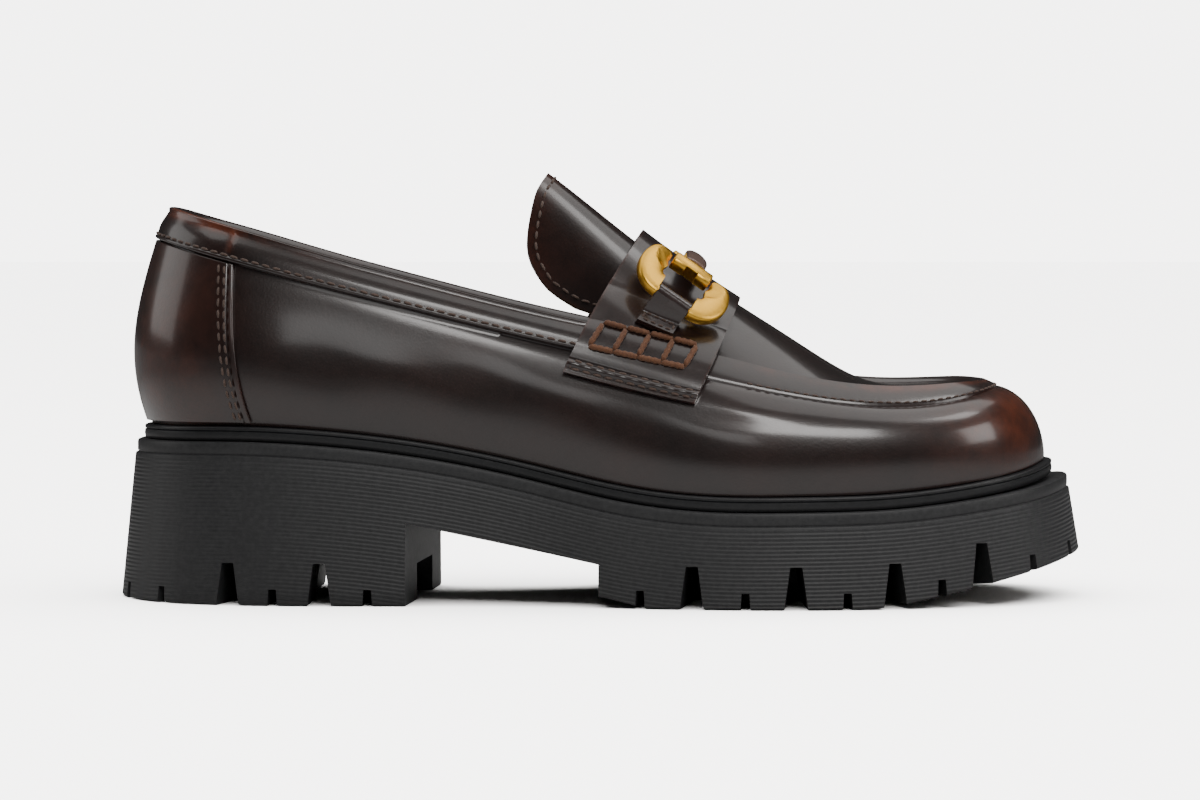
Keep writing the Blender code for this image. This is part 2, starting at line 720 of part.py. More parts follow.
def makeRing(name, inner, material):
    centre, along, down, off = ringFrame(inner)
    rows = ringPath()
    sides = 8
    sections = []
    for i, (a, d, wide, thick) in enumerate(rows):
        before, after = rows[max(i - 1, 0)], rows[min(i + 1, len(rows) - 1)]
        run = np.array([after[0] - before[0], after[1] - before[1]])
        run = run / np.linalg.norm(run)
        across = along * run[1] - down * run[0]
        place = centre + along * a + down * d
        sections.append([place + across * wide * math.cos(t) + off * thick * math.sin(t)
                         for t in np.arange(sides) * 2 * math.pi / sides])
    return sweep(name, sections, material)


def makeBarrel(name, inner, material):
    """Barrel with a notch between two knuckles on the ring's side."""
    centre, along, down, off = ringFrame(inner)
    sides = 12
    sections = []
    for end in (-0.5, 0.5):
        sections.append([centre + along * barrelLength * end
                         + barrelRadius * (down * math.cos(t) + off * math.sin(t))
                         for t in (np.arange(sides) + 0.5) * 2 * math.pi / sides])
    barrel = sweep(name, sections, material)
    box = []
    for end in (-0.5, 0.5):
        low = centre + along * notchLength * end
        box.append([low + down * barrelRadius * a + off * barrelRadius * b
                    for a, b in ((0.25, -1.4), (1.4, -1.4), (1.4, 1.4), (0.25, 1.4))])
    cut(barrel, sweep("notch cutter", box, material))
    return barrel


def makeLink(material):
    """Rounded bridge between the two barrels, over the ridge of the instep."""
    ridge, normal = strapPoint(0.5, 4.0, False, 1)
    top = ridge + normal * (linkRise - linkThickness / 2)
    spots = []
    for inner in (False, True):
        centre, along, down, off = ringFrame(inner)
        end = centre - down * (barrelRadius + seamGap + 0.6 * mm)
        spots.append((end, end * 0.55 + top * 0.45 + normal * 0.5 * mm))
    places = [spots[0][0], spots[0][1], top, spots[1][1], spots[1][0]]
    curve = splineThrough(np.linspace(0, 1, 5), np.array(places), False)
    sections = []
    for share in np.linspace(0, 1, 13):
        run = curve(min(share + 0.02, 1)) - curve(max(share - 0.02, 0))
        run = run / np.linalg.norm(run)
        face = np.cross(along, run)
        face = face / np.linalg.norm(face)
        swell = 0.6 + 0.4 * math.sin(math.pi * share)
        sections.append([curve(share) + along * linkWidth / 2 * math.cos(t) * (0.8 + 0.2 * swell)
                         + face * linkThickness / 2 * math.sin(t) * swell
                         for t in np.arange(10) * 2 * math.pi / 10])
    return sweep("centre_link", sections, material)


def makeKeeper(name, inner, material):
    """Leather loop that holds the ring's bar: folded round the bar, both ends on the strap."""
    centre, along, down, off = ringFrame(inner)
    bar = centre + down * ringDrop
    _, points, faces, wide = strapProfile(inner)
    reaches = (points - bar) @ down
    loop = ringBarRadius + seamGap + keeperThickness / 2 + 0.1 * mm
    tail = []
    far = min(keeperTail, reaches.max())
    for want in (far, far * 0.7, far * 0.4):
        place, normal, side = [np.array([np.interp(want, reaches, row[:, k]) for k in range(3)])
                               for row in (points, faces, wide)]
        side = side / np.linalg.norm(side)
        normal = normal - side * (normal @ side)
        normal = normal / np.linalg.norm(normal)
        tail.append((place - side * ((place - bar) @ side), normal, side))
    lift = seamGap + keeperThickness / 2 + 0.15 * mm
    path = [(place + normal * lift, side) for place, normal, side in tail]
    for angle in np.radians([-60, -90, -120, -150, 180, 150, 120, 90, 60]):
        path.append((bar + loop * (down * math.cos(angle) + off * math.sin(angle)), along))
    lift += keeperThickness + seamGap
    path += [(place + normal * lift, side) for place, normal, side in tail[::-1]]
    sections = []
    for i, (place, side) in enumerate(path):
        before = place - path[i - 1][0] if i else path[1][0] - place
        after = path[i + 1][0] - place if i + 1 < len(path) else before
        run = before / np.linalg.norm(before) + after / np.linalg.norm(after)
        run = run - side * (run @ side)
        run = run / np.linalg.norm(run)
        turn = before @ after / np.linalg.norm(before) / np.linalg.norm(after)
        stretch = 1 / math.sqrt(max((1 + turn) / 2, 0.5))
        face = np.cross(side, run) * stretch
        sections.append([place + side * keeperWidth / 2 * a + face * keeperThickness / 2 * b
                         for a, b in ((-1, -1), (1, -1), (1, 1), (-1, 1))])
    return sweep(name, sections, material)


# The sole

def soleLoop(edge):
    """Plan points outside the feather line by an edge distance for each column."""
    params = columnParameters()
    normal = planNormal(featherPlan, params)
    return featherPlan(params) + normal * np.reshape(edge, (-1, 1))


def levelLoop(edge, level):
    plan = soleLoop(edge)
    return np.column_stack([plan, level])


def soleLevels():
    params = columnParameters()
    feather = featherLevel(params)[:, 0]
    midTop = feather - seamGap
    midBottom = midTop - midsoleThickness
    return feather, midTop, midBottom, midBottom - seamGap


def makeMidsole(material):
    _, top, bottom, _ = soleLevels()
    flat = np.full(ringCount, midsoleEdge)
    rings = [levelLoop(flat, bottom),
             levelLoop(flat + midsoleRound * 0.3, (top + bottom) / 2),
             levelLoop(flat, top - midsoleRound),
             levelLoop(flat - midsoleRound, top)]
    return plate("midsole", rings, material)


def makeInsole(material):
    feather, _, _, _ = soleLevels()
    flat = np.full(ringCount, -insoleMargin)
    rings = [levelLoop(flat, feather), levelLoop(flat, feather + insoleThickness * 0.75),
             levelLoop(flat - 0.6 * mm, feather + insoleThickness)]
    return plate("insole", rings, material)


def flareAt(params):
    """Edge distance at the floor: more at heel and toe than at the sides."""
    lengthwise = planNormal(featherPlan, params)[:, 0] ** 2
    return flareSides + (flareEnds - flareSides) * lengthwise


def prism(lowLoop, highLoop, name, material):
    """Closed prism between two polygons of the same size."""
    return sweep(name, [lowLoop, highLoop], material)


def grooveCutter(place, inner, depth, mouth, roof, reach, material):
    """Tapered groove across the sole's edge, square to the outline."""
    s = placeToSole(place, inner)
    normal = planNormal(featherPlan, s)
    edge = featherPlan(s) + normal * flareEnds
    run = np.array([-normal[1], normal[0]])
    base = float(floorHeight(edge[0]))
    # Grooves square to a steep part of the outline keep to the depth of the flat part.
    sections = []
    for out in (4 * mm, -reach - flareEnds):
        low = edge + normal * out
        ground = min(base, float(floorHeight(low[0]))) - 3 * mm
        sections.append([np.append(low - run * mouth / 2, ground),
                         np.append(low + run * mouth / 2, ground),
                         np.append(low + run * roof / 2, base + depth),
                         np.append(low - run * roof / 2, base + depth)])
    return sweep("groove cutter", sections, material)


def placeToSole(place, inner):
    """Loop parameter where the floor edge passes a share of the last's length."""
    s = np.linspace(0.0, 0.5, 400)
    normal = planNormal(featherPlan, s)
    edge = featherPlan(s)[:, 0] + normal[:, 0] * flareEnds
    along = (edge - lastStart) / lastLength
    found = float(np.interp(place, along, s))
    return 1 - found if inner else found


def makeOutsole(material):
    params = columnParameters()
    _, _, _, top = soleLevels()
    ledge = np.full(ringCount, ledgeEdge)
    wall = ledge + bandStep
    floorEdge = flareAt(params)
    plan = soleLoop(floorEdge)
    ground = floorHeight(plan[:, 0])
    body = plate("outsole", [
        levelLoop(floorEdge - footEdgeRound, ground),
        levelLoop(floorEdge, ground + footEdgeRound),
        levelLoop(wall, top - bandHeight - 0.15 * mm),
        levelLoop(ledge, top - bandHeight),
        levelLoop(ledge, top - 0.5 * mm),
        levelLoop(ledge - 0.5 * mm, top),
    ], material)
    # Waist between the heel breast and the forefoot block.
    wide = ballWidth
    turn = math.tan(math.radians(breastAngle))
    below = -cutterRun
    sections = []
    for y in (-wide, wide):
        back = breastPlace + turn * y
        slope = (archHeightFront - archHeightBack) / (forefootBack - breastPlace)
        sections.append([(back, y, below), (forefootBack, y, below),
                         (forefootBack, y, archHeightFront),
                         (back, y, archHeightFront + slope * (back - forefootBack))])
    cut(body, sweep("waist cutter", sections, material))
    # Channel along the middle of the heel, open at the breast.
    middle = -0.03 * ballWidth
    back = lastStart + 0.075 * lastLength
    nose = heelChannelHalf * 0.53
    loop = [(back, middle - heelChannelHalf * 0.6), (back + nose, middle - heelChannelHalf),
            (forefootBack - 5 * mm, middle - heelChannelHalf),
            (forefootBack - 5 * mm, middle + heelChannelHalf),
            (back + nose, middle + heelChannelHalf), (back, middle + heelChannelHalf * 0.6)]
    low = [(x, y, below) for x, y in loop]
    high = [(x, y, channelDepth + 2.4 * mm) for x, y in loop]
    cut(body, prism(low, high, "heel channel cutter", material))
    # Channel along the middle of the forefoot, which keeps a row of lugs.
    start, end = placeToSole(0.585, False), placeToSole(0.90, False)
    shares = np.linspace(start, end, 9)
    inset = [featherPlan(s) - planNormal(featherPlan, s) * channelMargin for s in shares]
    inset += [featherPlan(1 - s) - planNormal(featherPlan, 1 - s) * channelMargin
              for s in shares[::-1]]
    rings = []
    count = len(inset)
    for level in (0, 1):
        rings.append([(x, y, below if level == 0 else float(floorHeight(x)) + channelDepth)
                      for x, y in inset])
    faces = [tuple((0 if k < 2 else count) + ((j + (k in (1, 2))) % count) for k in range(4))
             for j in range(count)]
    for j in range(count // 2 - 1):
        strip = (j, j + 1, count - 2 - j, count - 1 - j)
        faces.append(strip[::-1])
        faces.append(tuple(count + c for c in strip))
    points = np.array(rings).reshape(-1, 3)
    cut(body, addObject("forefoot channel cutter", points, faces, material))
    for place, size in [(p, "big") for p in bigGrooves] + [(p, "small") for p in smallGrooves]:
        for inner in (False, True):
            if size == "big":
                shape = (bigGrooveDepth, bigGrooveMouth, bigGrooveRoof, bigGrooveReach)
            else:
                shape = (smallGrooveDepth, smallGrooveMouth, smallGrooveRoof, smallGrooveReach)
            cut(body, grooveCutter(place, inner, *shape, material))
    # Middle lugs, pointed at both ends, fused into the channel's roof.
    for place in middleLugs:
        x = lastStart + place * lastLength
        y = 0.5 * (featherPlan(placeToSole(place, False))[1] + featherPlan(placeToSole(place, True))[1])
        half = middleLugLength / 2
        loop = [(x - half, y - middleLugHalf * 0.6), (x, y - middleLugHalf), (x + half, y - middleLugHalf * 0.6),
                (x + half, y + middleLugHalf * 0.6), (x, y + middleLugHalf), (x - half, y + middleLugHalf * 0.6)]
        low = [(a, b, float(floorHeight(a)) + 0.1 * mm) for a, b in loop]
        high = [(a, b, float(floorHeight(a)) + channelDepth + 1.5 * mm) for a, b in loop]
        cut(body, prism(low, high, "middle lug", material), "UNION")
    return body


def centreOnOrigin():
    """Moves every piece so that the whole shoe's box is centred on X and Y."""
    points = np.array([v.co for obj in bpy.data.objects for v in obj.data.vertices])
    middle = (points.min(axis=0) + points.max(axis=0)) / 2
    for obj in bpy.data.objects:
        obj.data.transform(Matrix.Translation((-middle[0], -middle[1], 0)))


def main():
    for obj in list(bpy.data.objects):
        bpy.data.objects.remove(obj)
    leather = makeMaterial("brown_polished_leather", (0.045, 0.022, 0.018), 0.22)
    lining = makeMaterial("lining_leather", (0.10, 0.055, 0.035), 0.6)
    rubber = makeMaterial("black_rubber", (0.028, 0.029, 0.030), 0.6)
    gold = makeMaterial("gold_metal", (0.83, 0.56, 0.16), 0.25, 1.0)
    makeOutsole(rubber)
    makeMidsole(rubber)
    makeInsole(lining)
    makeUpper(leather)
    makeCounter(leather)
    makeBinding(leather)
    makeTongue(leather)
    makeStrap(leather)
    makeRing("ring_outer", False, gold)
    makeRing("ring_inner", True, gold)
    makeBarrel("barrel_outer", False, gold)
    makeBarrel("barrel_inner", True, gold)
    makeLink(gold)
    makeKeeper("keeper_outer", False, leather)
    makeKeeper("keeper_inner", True, leather)
    centreOnOrigin()


main()
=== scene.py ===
import functools
import json
import math

import bmesh
import bpy
import numpy as np
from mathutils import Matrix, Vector

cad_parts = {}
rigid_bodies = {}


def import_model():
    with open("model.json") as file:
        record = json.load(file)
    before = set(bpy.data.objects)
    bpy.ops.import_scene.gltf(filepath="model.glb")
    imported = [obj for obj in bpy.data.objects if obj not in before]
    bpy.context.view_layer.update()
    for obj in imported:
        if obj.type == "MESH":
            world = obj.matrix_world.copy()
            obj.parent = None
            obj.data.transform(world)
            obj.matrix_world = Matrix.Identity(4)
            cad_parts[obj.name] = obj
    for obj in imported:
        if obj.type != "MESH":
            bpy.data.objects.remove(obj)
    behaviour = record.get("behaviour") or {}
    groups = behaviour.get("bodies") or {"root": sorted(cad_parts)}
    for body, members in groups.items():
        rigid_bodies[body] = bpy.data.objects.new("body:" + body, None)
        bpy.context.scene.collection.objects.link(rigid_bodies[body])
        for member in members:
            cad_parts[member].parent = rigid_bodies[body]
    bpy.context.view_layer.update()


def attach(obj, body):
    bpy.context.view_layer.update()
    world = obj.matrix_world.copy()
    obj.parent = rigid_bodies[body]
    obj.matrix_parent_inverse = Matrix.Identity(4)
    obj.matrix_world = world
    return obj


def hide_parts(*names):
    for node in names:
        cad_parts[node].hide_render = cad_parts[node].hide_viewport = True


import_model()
print("frame loaded")

mm = 0.001
rng = np.random.default_rng(39)

# The last, with the same values as the CAD part
last = dict(length=261 * mm, start=-131 * mm, ball=92 * mm, heelSeat=50.6 * mm, platform=31.8 * mm,
            toeSpring=8.5 * mm, collar=63.2 * mm, toeBox=30 * mm, instep=46 * mm)
shoeShift = np.array([0.5 * mm, 1.54 * mm, 0])   # the last's frame to the row frame
seamGap = 0.3 * mm
upperWall = 1.8 * mm
throatPlace = 0.545

featherRows = (
    # along, outer half, inner half, heel lift, toe lift
    (0.000, 0.000, 0.000, 0.99, 0.00),
    (0.012, 0.141, 0.141, 1.00, 0.00),
    (0.045, 0.261, 0.245, 1.01, 0.00),
    (0.110, 0.342, 0.293, 1.02, 0.00),
    (0.200, 0.370, 0.293, 0.96, 0.00),
    (0.300, 0.375, 0.266, 0.80, 0.00),
    (0.420, 0.391, 0.250, 0.48, 0.00),
    (0.530, 0.446, 0.299, 0.14, 0.00),
    (0.630, 0.498, 0.391, 0.00, 0.00),
    (0.720, 0.511, 0.467, 0.00, 0.00),
    (0.810, 0.478, 0.473, 0.00, 0.07),
    (0.890, 0.413, 0.424, 0.00, 0.31),
    (0.950, 0.315, 0.337, 0.00, 0.60),
    (0.985, 0.174, 0.196, 0.00, 0.84),
    (1.000, 0.000, 0.000, 0.00, 1.00),
)
seamRows = (
    # along, outer half, inner half, rise as a share of the wall height
    (0.010, 0.000, 0.000, 0.867),
    (0.020, 0.125, 0.125, 0.860),
    (0.050, 0.234, 0.217, 0.840),
    (0.103, 0.310, 0.272, 0.805),
    (0.195, 0.342, 0.288, 0.755),
    (0.299, 0.353, 0.283, 0.725),
    (0.421, 0.364, 0.288, 0.725),
    (0.533, 0.391, 0.315, 0.765),
    (0.632, 0.418, 0.359, 0.772),
    (0.720, 0.424, 0.402, 0.738),
    (0.801, 0.402, 0.397, 0.724),
    (0.870, 0.337, 0.348, 0.745),
    (0.918, 0.245, 0.261, 0.765),
    (0.939, 0.130, 0.147, 0.745),
    (0.946, 0.000, 0.000, 0.715),
)
crestRows = (
    # along, outer half, inner half, rise as a share of the wall height, instep arch
    (0.025, 0.000, 0.000, 1.000, 1.60),
    (0.033, 0.103, 0.103, 0.997, 1.58),
    (0.061, 0.196, 0.185, 0.980, 1.55),
    (0.111, 0.266, 0.234, 0.948, 1.50),
    (0.199, 0.299, 0.255, 0.898, 1.42),
    (0.299, 0.310, 0.261, 0.872, 1.26),
    (0.421, 0.321, 0.261, 0.878, 1.052),
    (0.533, 0.337, 0.277, 0.930, 0.703),
    (0.632, 0.353, 0.304, 0.945, 0.42),
    (0.718, 0.359, 0.337, 0.895, 0.228),
    (0.797, 0.342, 0.337, 0.878, 0.042),
    (0.860, 0.288, 0.299, 0.893, 0.00),
    (0.906, 0.212, 0.228, 0.880, 0.00),
    (0.926, 0.114, 0.130, 0.830, 0.00),
    (0.933, 0.000, 0.000, 0.790, 0.00),
)
bulgeRows = (
    # low lean, high lean (shares of the ball width), low handle, high handle (of the rise)
    (0.076, 0.072, 0.35, 0.40),
    (0.074, 0.071, 0.35, 0.40),
    (0.070, 0.066, 0.35, 0.39),
    (0.062, 0.058, 0.35, 0.38),
    (0.048, 0.046, 0.36, 0.37),
    (0.038, 0.044, 0.37, 0.36),
    (0.034, 0.054, 0.38, 0.32),
    (0.033, 0.066, 0.39, 0.27),
    (0.033, 0.078, 0.40, 0.21),
    (0.033, 0.084, 0.41, 0.17),
    (0.033, 0.090, 0.42, 0.14),
    (0.027, 0.094, 0.43, 0.11),
    (0.014, 0.098, 0.44, 0.09),
    (0.006, 0.098, 0.45, 0.08),
    (0.000, 0.098, 0.45, 0.08),
)


# A cubic spline through the values, natural at its ends or closed on itself
def splineThrough(knots, values, closed):
    knots = np.asarray(knots, float)
    values = np.asarray(values, float)
    if values.ndim == 1:
        values = values[:, None]
    if closed:
        values = np.vstack([values, values[:1]])
    steps = np.diff(knots)
    count = len(knots)
    matrix = np.zeros((count, count))
    target = np.zeros((count, values.shape[1]))
    slopes = np.diff(values, axis=0) / steps[:, None]
    for i in range(1, count - 1):
        matrix[i, i - 1:i + 2] = steps[i - 1], 2 * (steps[i - 1] + steps[i]), steps[i]
        target[i] = 6 * (slopes[i] - slopes[i - 1])
    if closed:
        matrix[0, 0], matrix[0, -1] = 1, -1
        matrix[-1, 0:2] = 2 * steps[0], steps[0]
        matrix[-1, -2:] = steps[-1], 2 * steps[-1]
        target[-1] = 6 * (slopes[0] - slopes[-1])
    else:
        matrix[0, 0] = matrix[-1, -1] = 1
    bends = np.linalg.solve(matrix, target)

    def at(u):
        u = np.asarray(u, float)
        i = np.clip(np.searchsorted(knots, u, side="right") - 1, 0, count - 2)
        h = steps[i][..., None]
        a = (knots[i + 1] - u)[..., None] / h
        b = 1 - a
        return (a * values[i] + b * values[i + 1]
                + ((a ** 3 - a) * bends[i] + (b ** 3 - b) * bends[i + 1]) * h * h / 6)
    return at


def bothSides(rows, columns):
    picked = [[row[c] for c in columns] for row in rows]
    return np.array(picked + picked[-2:0:-1])


def planLoop(rows):
    along = [last["start"] + row[0] * last["length"] for row in rows]
    outer = [(x, -row[1] * last["ball"]) for x, row in zip(along, rows)]
    inner = [(x, row[2] * last["ball"]) for x, row in zip(along, rows)]
    return np.array(outer + inner[-2:0:-1])


# Knots run 0 to 0.5 from heel to toe on the outer side, and back to 1 on the inner side
def loopKnots():
    loop = planLoop(featherRows)
    half = len(featherRows)
    outer = np.linalg.norm(np.diff(loop[:half], axis=0), axis=1)
    inner = np.linalg.norm(np.diff(np.vstack([loop[half - 1:], loop[:1]]), axis=0), axis=1)[::-1]
    places = np.concatenate([[0], np.cumsum((outer + inner) / 2)])
    places = places / places[-1] / 2
    return np.concatenate([places, 1 - places[-2::-1]])


# The top edges sink a little below the plain last: place along, drop
sunkRows = ((0.00, 1.5), (0.06, 2.35), (0.26, 2.35), (0.305, 2.05), (0.35, 1.75), (0.395, 1.2),
            (0.44, 0.9), (0.50, 0.5), (0.56, 0.0), (0.62, 0.3), (0.66, 1.6), (0.70, 1.5), (0.76, 1.0),
            (0.80, 1.7), (0.84, 2.1), (0.89, 2.1), (0.92, 1.4), (0.94, 0.6), (1.0, 0.5))


def sunk(rows):
    places, drops = np.array(sunkRows).T
    return np.interp(bothSides(rows, (0,))[:, 0], places, drops) * mm


knots = loopKnots()
wallHeights = last["collar"] + (last["toeBox"] - last["collar"]) * bothSides(featherRows, (0,))[:, 0]
featherPlan = splineThrough(knots, planLoop(featherRows), True)
seamPlan = splineThrough(knots, planLoop(seamRows), True)
crestPlan = splineThrough(knots, planLoop(crestRows), True)
lifts = bothSides(featherRows, (3, 4))
featherLevel = splineThrough(knots, last["platform"] + (last["heelSeat"] - last["platform"]) * lifts[:, 0]
                             + last["toeSpring"] * lifts[:, 1], True)
seamRise = splineThrough(knots, bothSides(seamRows, (3,))[:, 0] * wallHeights - sunk(seamRows), True)
crestRise = splineThrough(knots, bothSides(crestRows, (3,))[:, 0] * wallHeights - sunk(crestRows), True)
archRise = splineThrough(knots, bothSides(crestRows, (4,))[:, 0] * last["instep"], True)
bulge = splineThrough(knots, bothSides(bulgeRows, (0, 1, 2, 3)), True)


def unit(v):
    return v / np.linalg.norm(v, axis=-1, keepdims=True)


def bell(x, centre, width):
    return np.exp(-((x - centre) / width) ** 2)


def planNormal(plan, s):
    run = unit(plan((s + 0.002) % 1.0) - plan((s - 0.002) % 1.0))
    return np.stack([run[..., 1], -run[..., 0]], axis=-1)


plug = dict(bandPuff=0.5 * mm, lipWidth=3.0 * mm, leastLip=0.35, lipDrop=1.5 * mm, lipHollow=0.6,
            archPower=2.2)
upAxis = np.array([0, 0, 1.0])


# Girth 0 is the feather line, 1 the seam, 2 the crest or topline, 3 the valley and 4 the middle
def skin(s, girth):
    s = np.asarray(s, float) % 1.0
    girth = np.asarray(girth, float) + np.zeros_like(s)
    s = s + np.zeros_like(girth)

    def lifted(plan, level):
        return np.concatenate([plan, level[..., None]], axis=-1)

    def sideways(plan, where):
        return np.concatenate([planNormal(plan, where), np.zeros(s.shape + (1,))], axis=-1)

    base = featherLevel(s)[..., 0]
    feather = lifted(featherPlan(s), base)
    seam = lifted(seamPlan(s), base + seamRise(s)[..., 0])
    crest = lifted(crestPlan(s), base + crestRise(s)[..., 0])
    out = sideways(featherPlan, s)
    lean = bulge(s)
    rise = seamRise(s)
    low = feather + out * lean[..., 0:1] * last["ball"] + upAxis * rise * lean[..., 2:3]
    high = seam + out * lean[..., 1:2] * last["ball"] - upAxis * rise * lean[..., 3:4]
    t = np.clip(girth, 0, 1)[..., None]
    wall = feather * (1 - t) ** 3 + 3 * low * t * (1 - t) ** 2 + 3 * high * t * t * (1 - t) + seam * t ** 3
    t = np.clip(girth - 1, 0, 1)[..., None]
    band = seam * (1 - t) + crest * t + out * plug["bandPuff"] * 4 * t * (1 - t)
    room = np.linalg.norm(crestPlan(s) - crestPlan(1 - s), axis=-1) / 2
    share = np.clip(room / plug["lipWidth"] / 2, plug["leastLip"], 1)[..., None]
    fall = upAxis * plug["lipDrop"] * share
    valley = crest - sideways(crestPlan, s) * plug["lipWidth"] * share - fall
    t = np.clip(girth - 2, 0, 1)[..., None]
    lip = crest * (1 - t) + valley * t + fall * plug["lipHollow"] * t * (1 - t)
    otherCrest = lifted(crestPlan(1 - s), featherLevel(1 - s)[..., 0] + crestRise(1 - s)[..., 0])
    otherValley = otherCrest - sideways(crestPlan, 1 - s) * plug["lipWidth"] * share - fall
    t = np.clip(girth - 3, 0, 1)[..., None]
    arch = (valley * (1 - t) + (valley + otherValley) / 2 * t
            + upAxis * np.maximum(archRise(s), 0) * (1 - (1 - t) ** plug["archPower"]))
    pick = girth[..., None]
    return np.where(pick <= 1, wall, np.where(pick <= 2, band, np.where(pick <= 3, lip, arch)))


def skinNormal(s, girth, smooth=0.12):
    s = np.asarray(s, float)
    along = skin(s + 0.003, girth) - skin(s - 0.003, girth)
    low = np.clip(np.asarray(girth, float) - smooth, 0, 4)
    high = np.clip(np.asarray(girth, float) + smooth, 0, 4)
    return unit(np.cross(along, skin(s, high) - skin(s, low)))


@functools.lru_cache(maxsize=None)
def girthLine(girth, inner):
    s = np.linspace(0.02, 0.48, 400)
    if inner:
        s = 1 - s
    return (skin(s, np.full(s.shape, girth))[:, 0] - last["start"]) / last["length"], s


def placeToS(place, girth, inner):
    along, s = girthLine(round(float(girth), 4), bool(inner))
    return np.interp(place, along, s)


print("last ready")


# Materials

def newGroup(name, inputs):
    group = bpy.data.node_groups.new(name, "ShaderNodeTree")
    for label, value in inputs.items():
        color = isinstance(value, tuple)
        kind = "NodeSocketColor" if color else "NodeSocketFloat"
        socket = group.interface.new_socket(name=label, in_out="INPUT", socket_type=kind)
        socket.default_value = colorOf(value) if color else value
    for label in ("Color", "Roughness", "Height"):
        kind = "NodeSocketColor" if label == "Color" else "NodeSocketFloat"
        group.interface.new_socket(name=label, in_out="OUTPUT", socket_type=kind)
    return group, group.nodes.new("NodeGroupInput"), group.nodes.new("NodeGroupOutput")


def addNode(tree, kind, values=(), links=(), **settings):
    node = tree.nodes.new(kind)
    for key, value in settings.items():
        setattr(node, key, value)
    for key, value in dict(values).items():
        node.inputs[key].default_value = value
    for key, source in dict(links).items():
        tree.links.new(source, node.inputs[key])
    return node


def colorOf(rgb):
    return (*rgb, 1.0)


def mixColor(tree, factor, first, second):
    node = tree.nodes.new("ShaderNodeMix")
    node.data_type = "RGBA"
    for index, source in ((0, factor), (6, first), (7, second)):
        if isinstance(source, (tuple, float)):
            node.inputs[index].default_value = source
        else:
            tree.links.new(source, node.inputs[index])
    return node.outputs[2]


def mathNode(tree, operation, *sources):
    node = tree.nodes.new("ShaderNodeMath")
    node.operation = operation
    for index, source in enumerate(sources):
        if isinstance(source, (int, float)):
            node.inputs[index].default_value = source
        else:
            tree.links.new(source, node.inputs[index])
    return node.outputs[0]


def noise(tree, place, scale, detail, roughness=0.5):
    node = addNode(tree, "ShaderNodeTexNoise", {"Detail": detail, "Roughness": roughness}, {"Vector": place})
    if isinstance(scale, (int, float)):
        node.inputs["Scale"].default_value = scale
    else:
        tree.links.new(scale, node.inputs["Scale"])
    return node.outputs[0]


def remap(tree, value, low, high, toLow=0.0, toHigh=1.0):
    values = {"From Min": low, "From Max": high, "To Min": toLow, "To Max": toHigh}
    return addNode(tree, "ShaderNodeMapRange", values, {"Value": value}).outputs[0]


def varied(tree, base, value, swing):
    # The base value with a swing round it
    return mathNode(tree, "MULTIPLY_ADD", mathNode(tree, "SUBTRACT", value, 0.5), swing, base)


def putOut(tree, outlet, color, rough, height):
    for label, source in (("Color", color), ("Roughness", rough), ("Height", height)):
        tree.links.new(source, outlet.inputs[label])


def leatherGroup():
    tree, inlet, outlet = newGroup("burnishedLeather", {
        "Dark": (0.02, 0.01, 0.01), "Burnish": (0.2, 0.05, 0.02), "Mask": 0.0, "Roughness": 0.3,
        "Grain": 1.0})
    place = tree.nodes.new("ShaderNodeTexCoord").outputs["Object"]
    cloud = noise(tree, place, 38, 6, 0.62)
    brush = noise(tree, place, 210, 4, 0.7)
    fine = noise(tree, place, 900, 3)
    pores = addNode(tree, "ShaderNodeTexVoronoi", {"Scale": 1500}, {"Vector": place}).outputs["Distance"]
    # The burnish breaks up where the brush went over it
    broken = mathNode(tree, "MULTIPLY_ADD", cloud, 1.1, mathNode(tree, "MULTIPLY", brush, 0.5))
    mask = mathNode(tree, "MULTIPLY", inlet.outputs["Mask"], remap(tree, broken, 0.55, 1.1))
    mask.node.use_clamp = True
    color = mixColor(tree, mask, inlet.outputs["Dark"], inlet.outputs["Burnish"])
    shade = remap(tree, cloud, 0.35, 0.68, 0.75, 1.25)
    tone = addNode(tree, "ShaderNodeHueSaturation", {}, {"Value": shade, "Color": color}).outputs[0]
    rough = varied(tree, inlet.outputs["Roughness"], brush, 0.16)
    skinGrain = mathNode(tree, "MULTIPLY_ADD", pores, 0.6, fine)
    height = mathNode(tree, "MULTIPLY", skinGrain, inlet.outputs["Grain"])
    putOut(tree, outlet, tone, rough, height)
    return tree


def speckleGroup():
    tree, inlet, outlet = newGroup("fineSpeckle", {
        "Base": (0.03, 0.03, 0.03), "Light": (0.06, 0.06, 0.06), "Scale": 600.0, "Roughness": 0.6,
        "Spread": 0.15})
    place = tree.nodes.new("ShaderNodeTexCoord").outputs["Object"]
    fine = noise(tree, place, inlet.outputs["Scale"], 5, 0.65)
    cloud = noise(tree, place, 30, 4)
    blend = mathNode(tree, "MULTIPLY_ADD", fine, 0.7, mathNode(tree, "MULTIPLY", cloud, 0.3))
    color = mixColor(tree, remap(tree, blend, 0.4, 0.75), inlet.outputs["Base"], inlet.outputs["Light"])
    rough = varied(tree, inlet.outputs["Roughness"], fine, inlet.outputs["Spread"])
    putOut(tree, outlet, color, rough, fine)
    return tree


groups = dict(leather=leatherGroup(), speckle=speckleGroup())


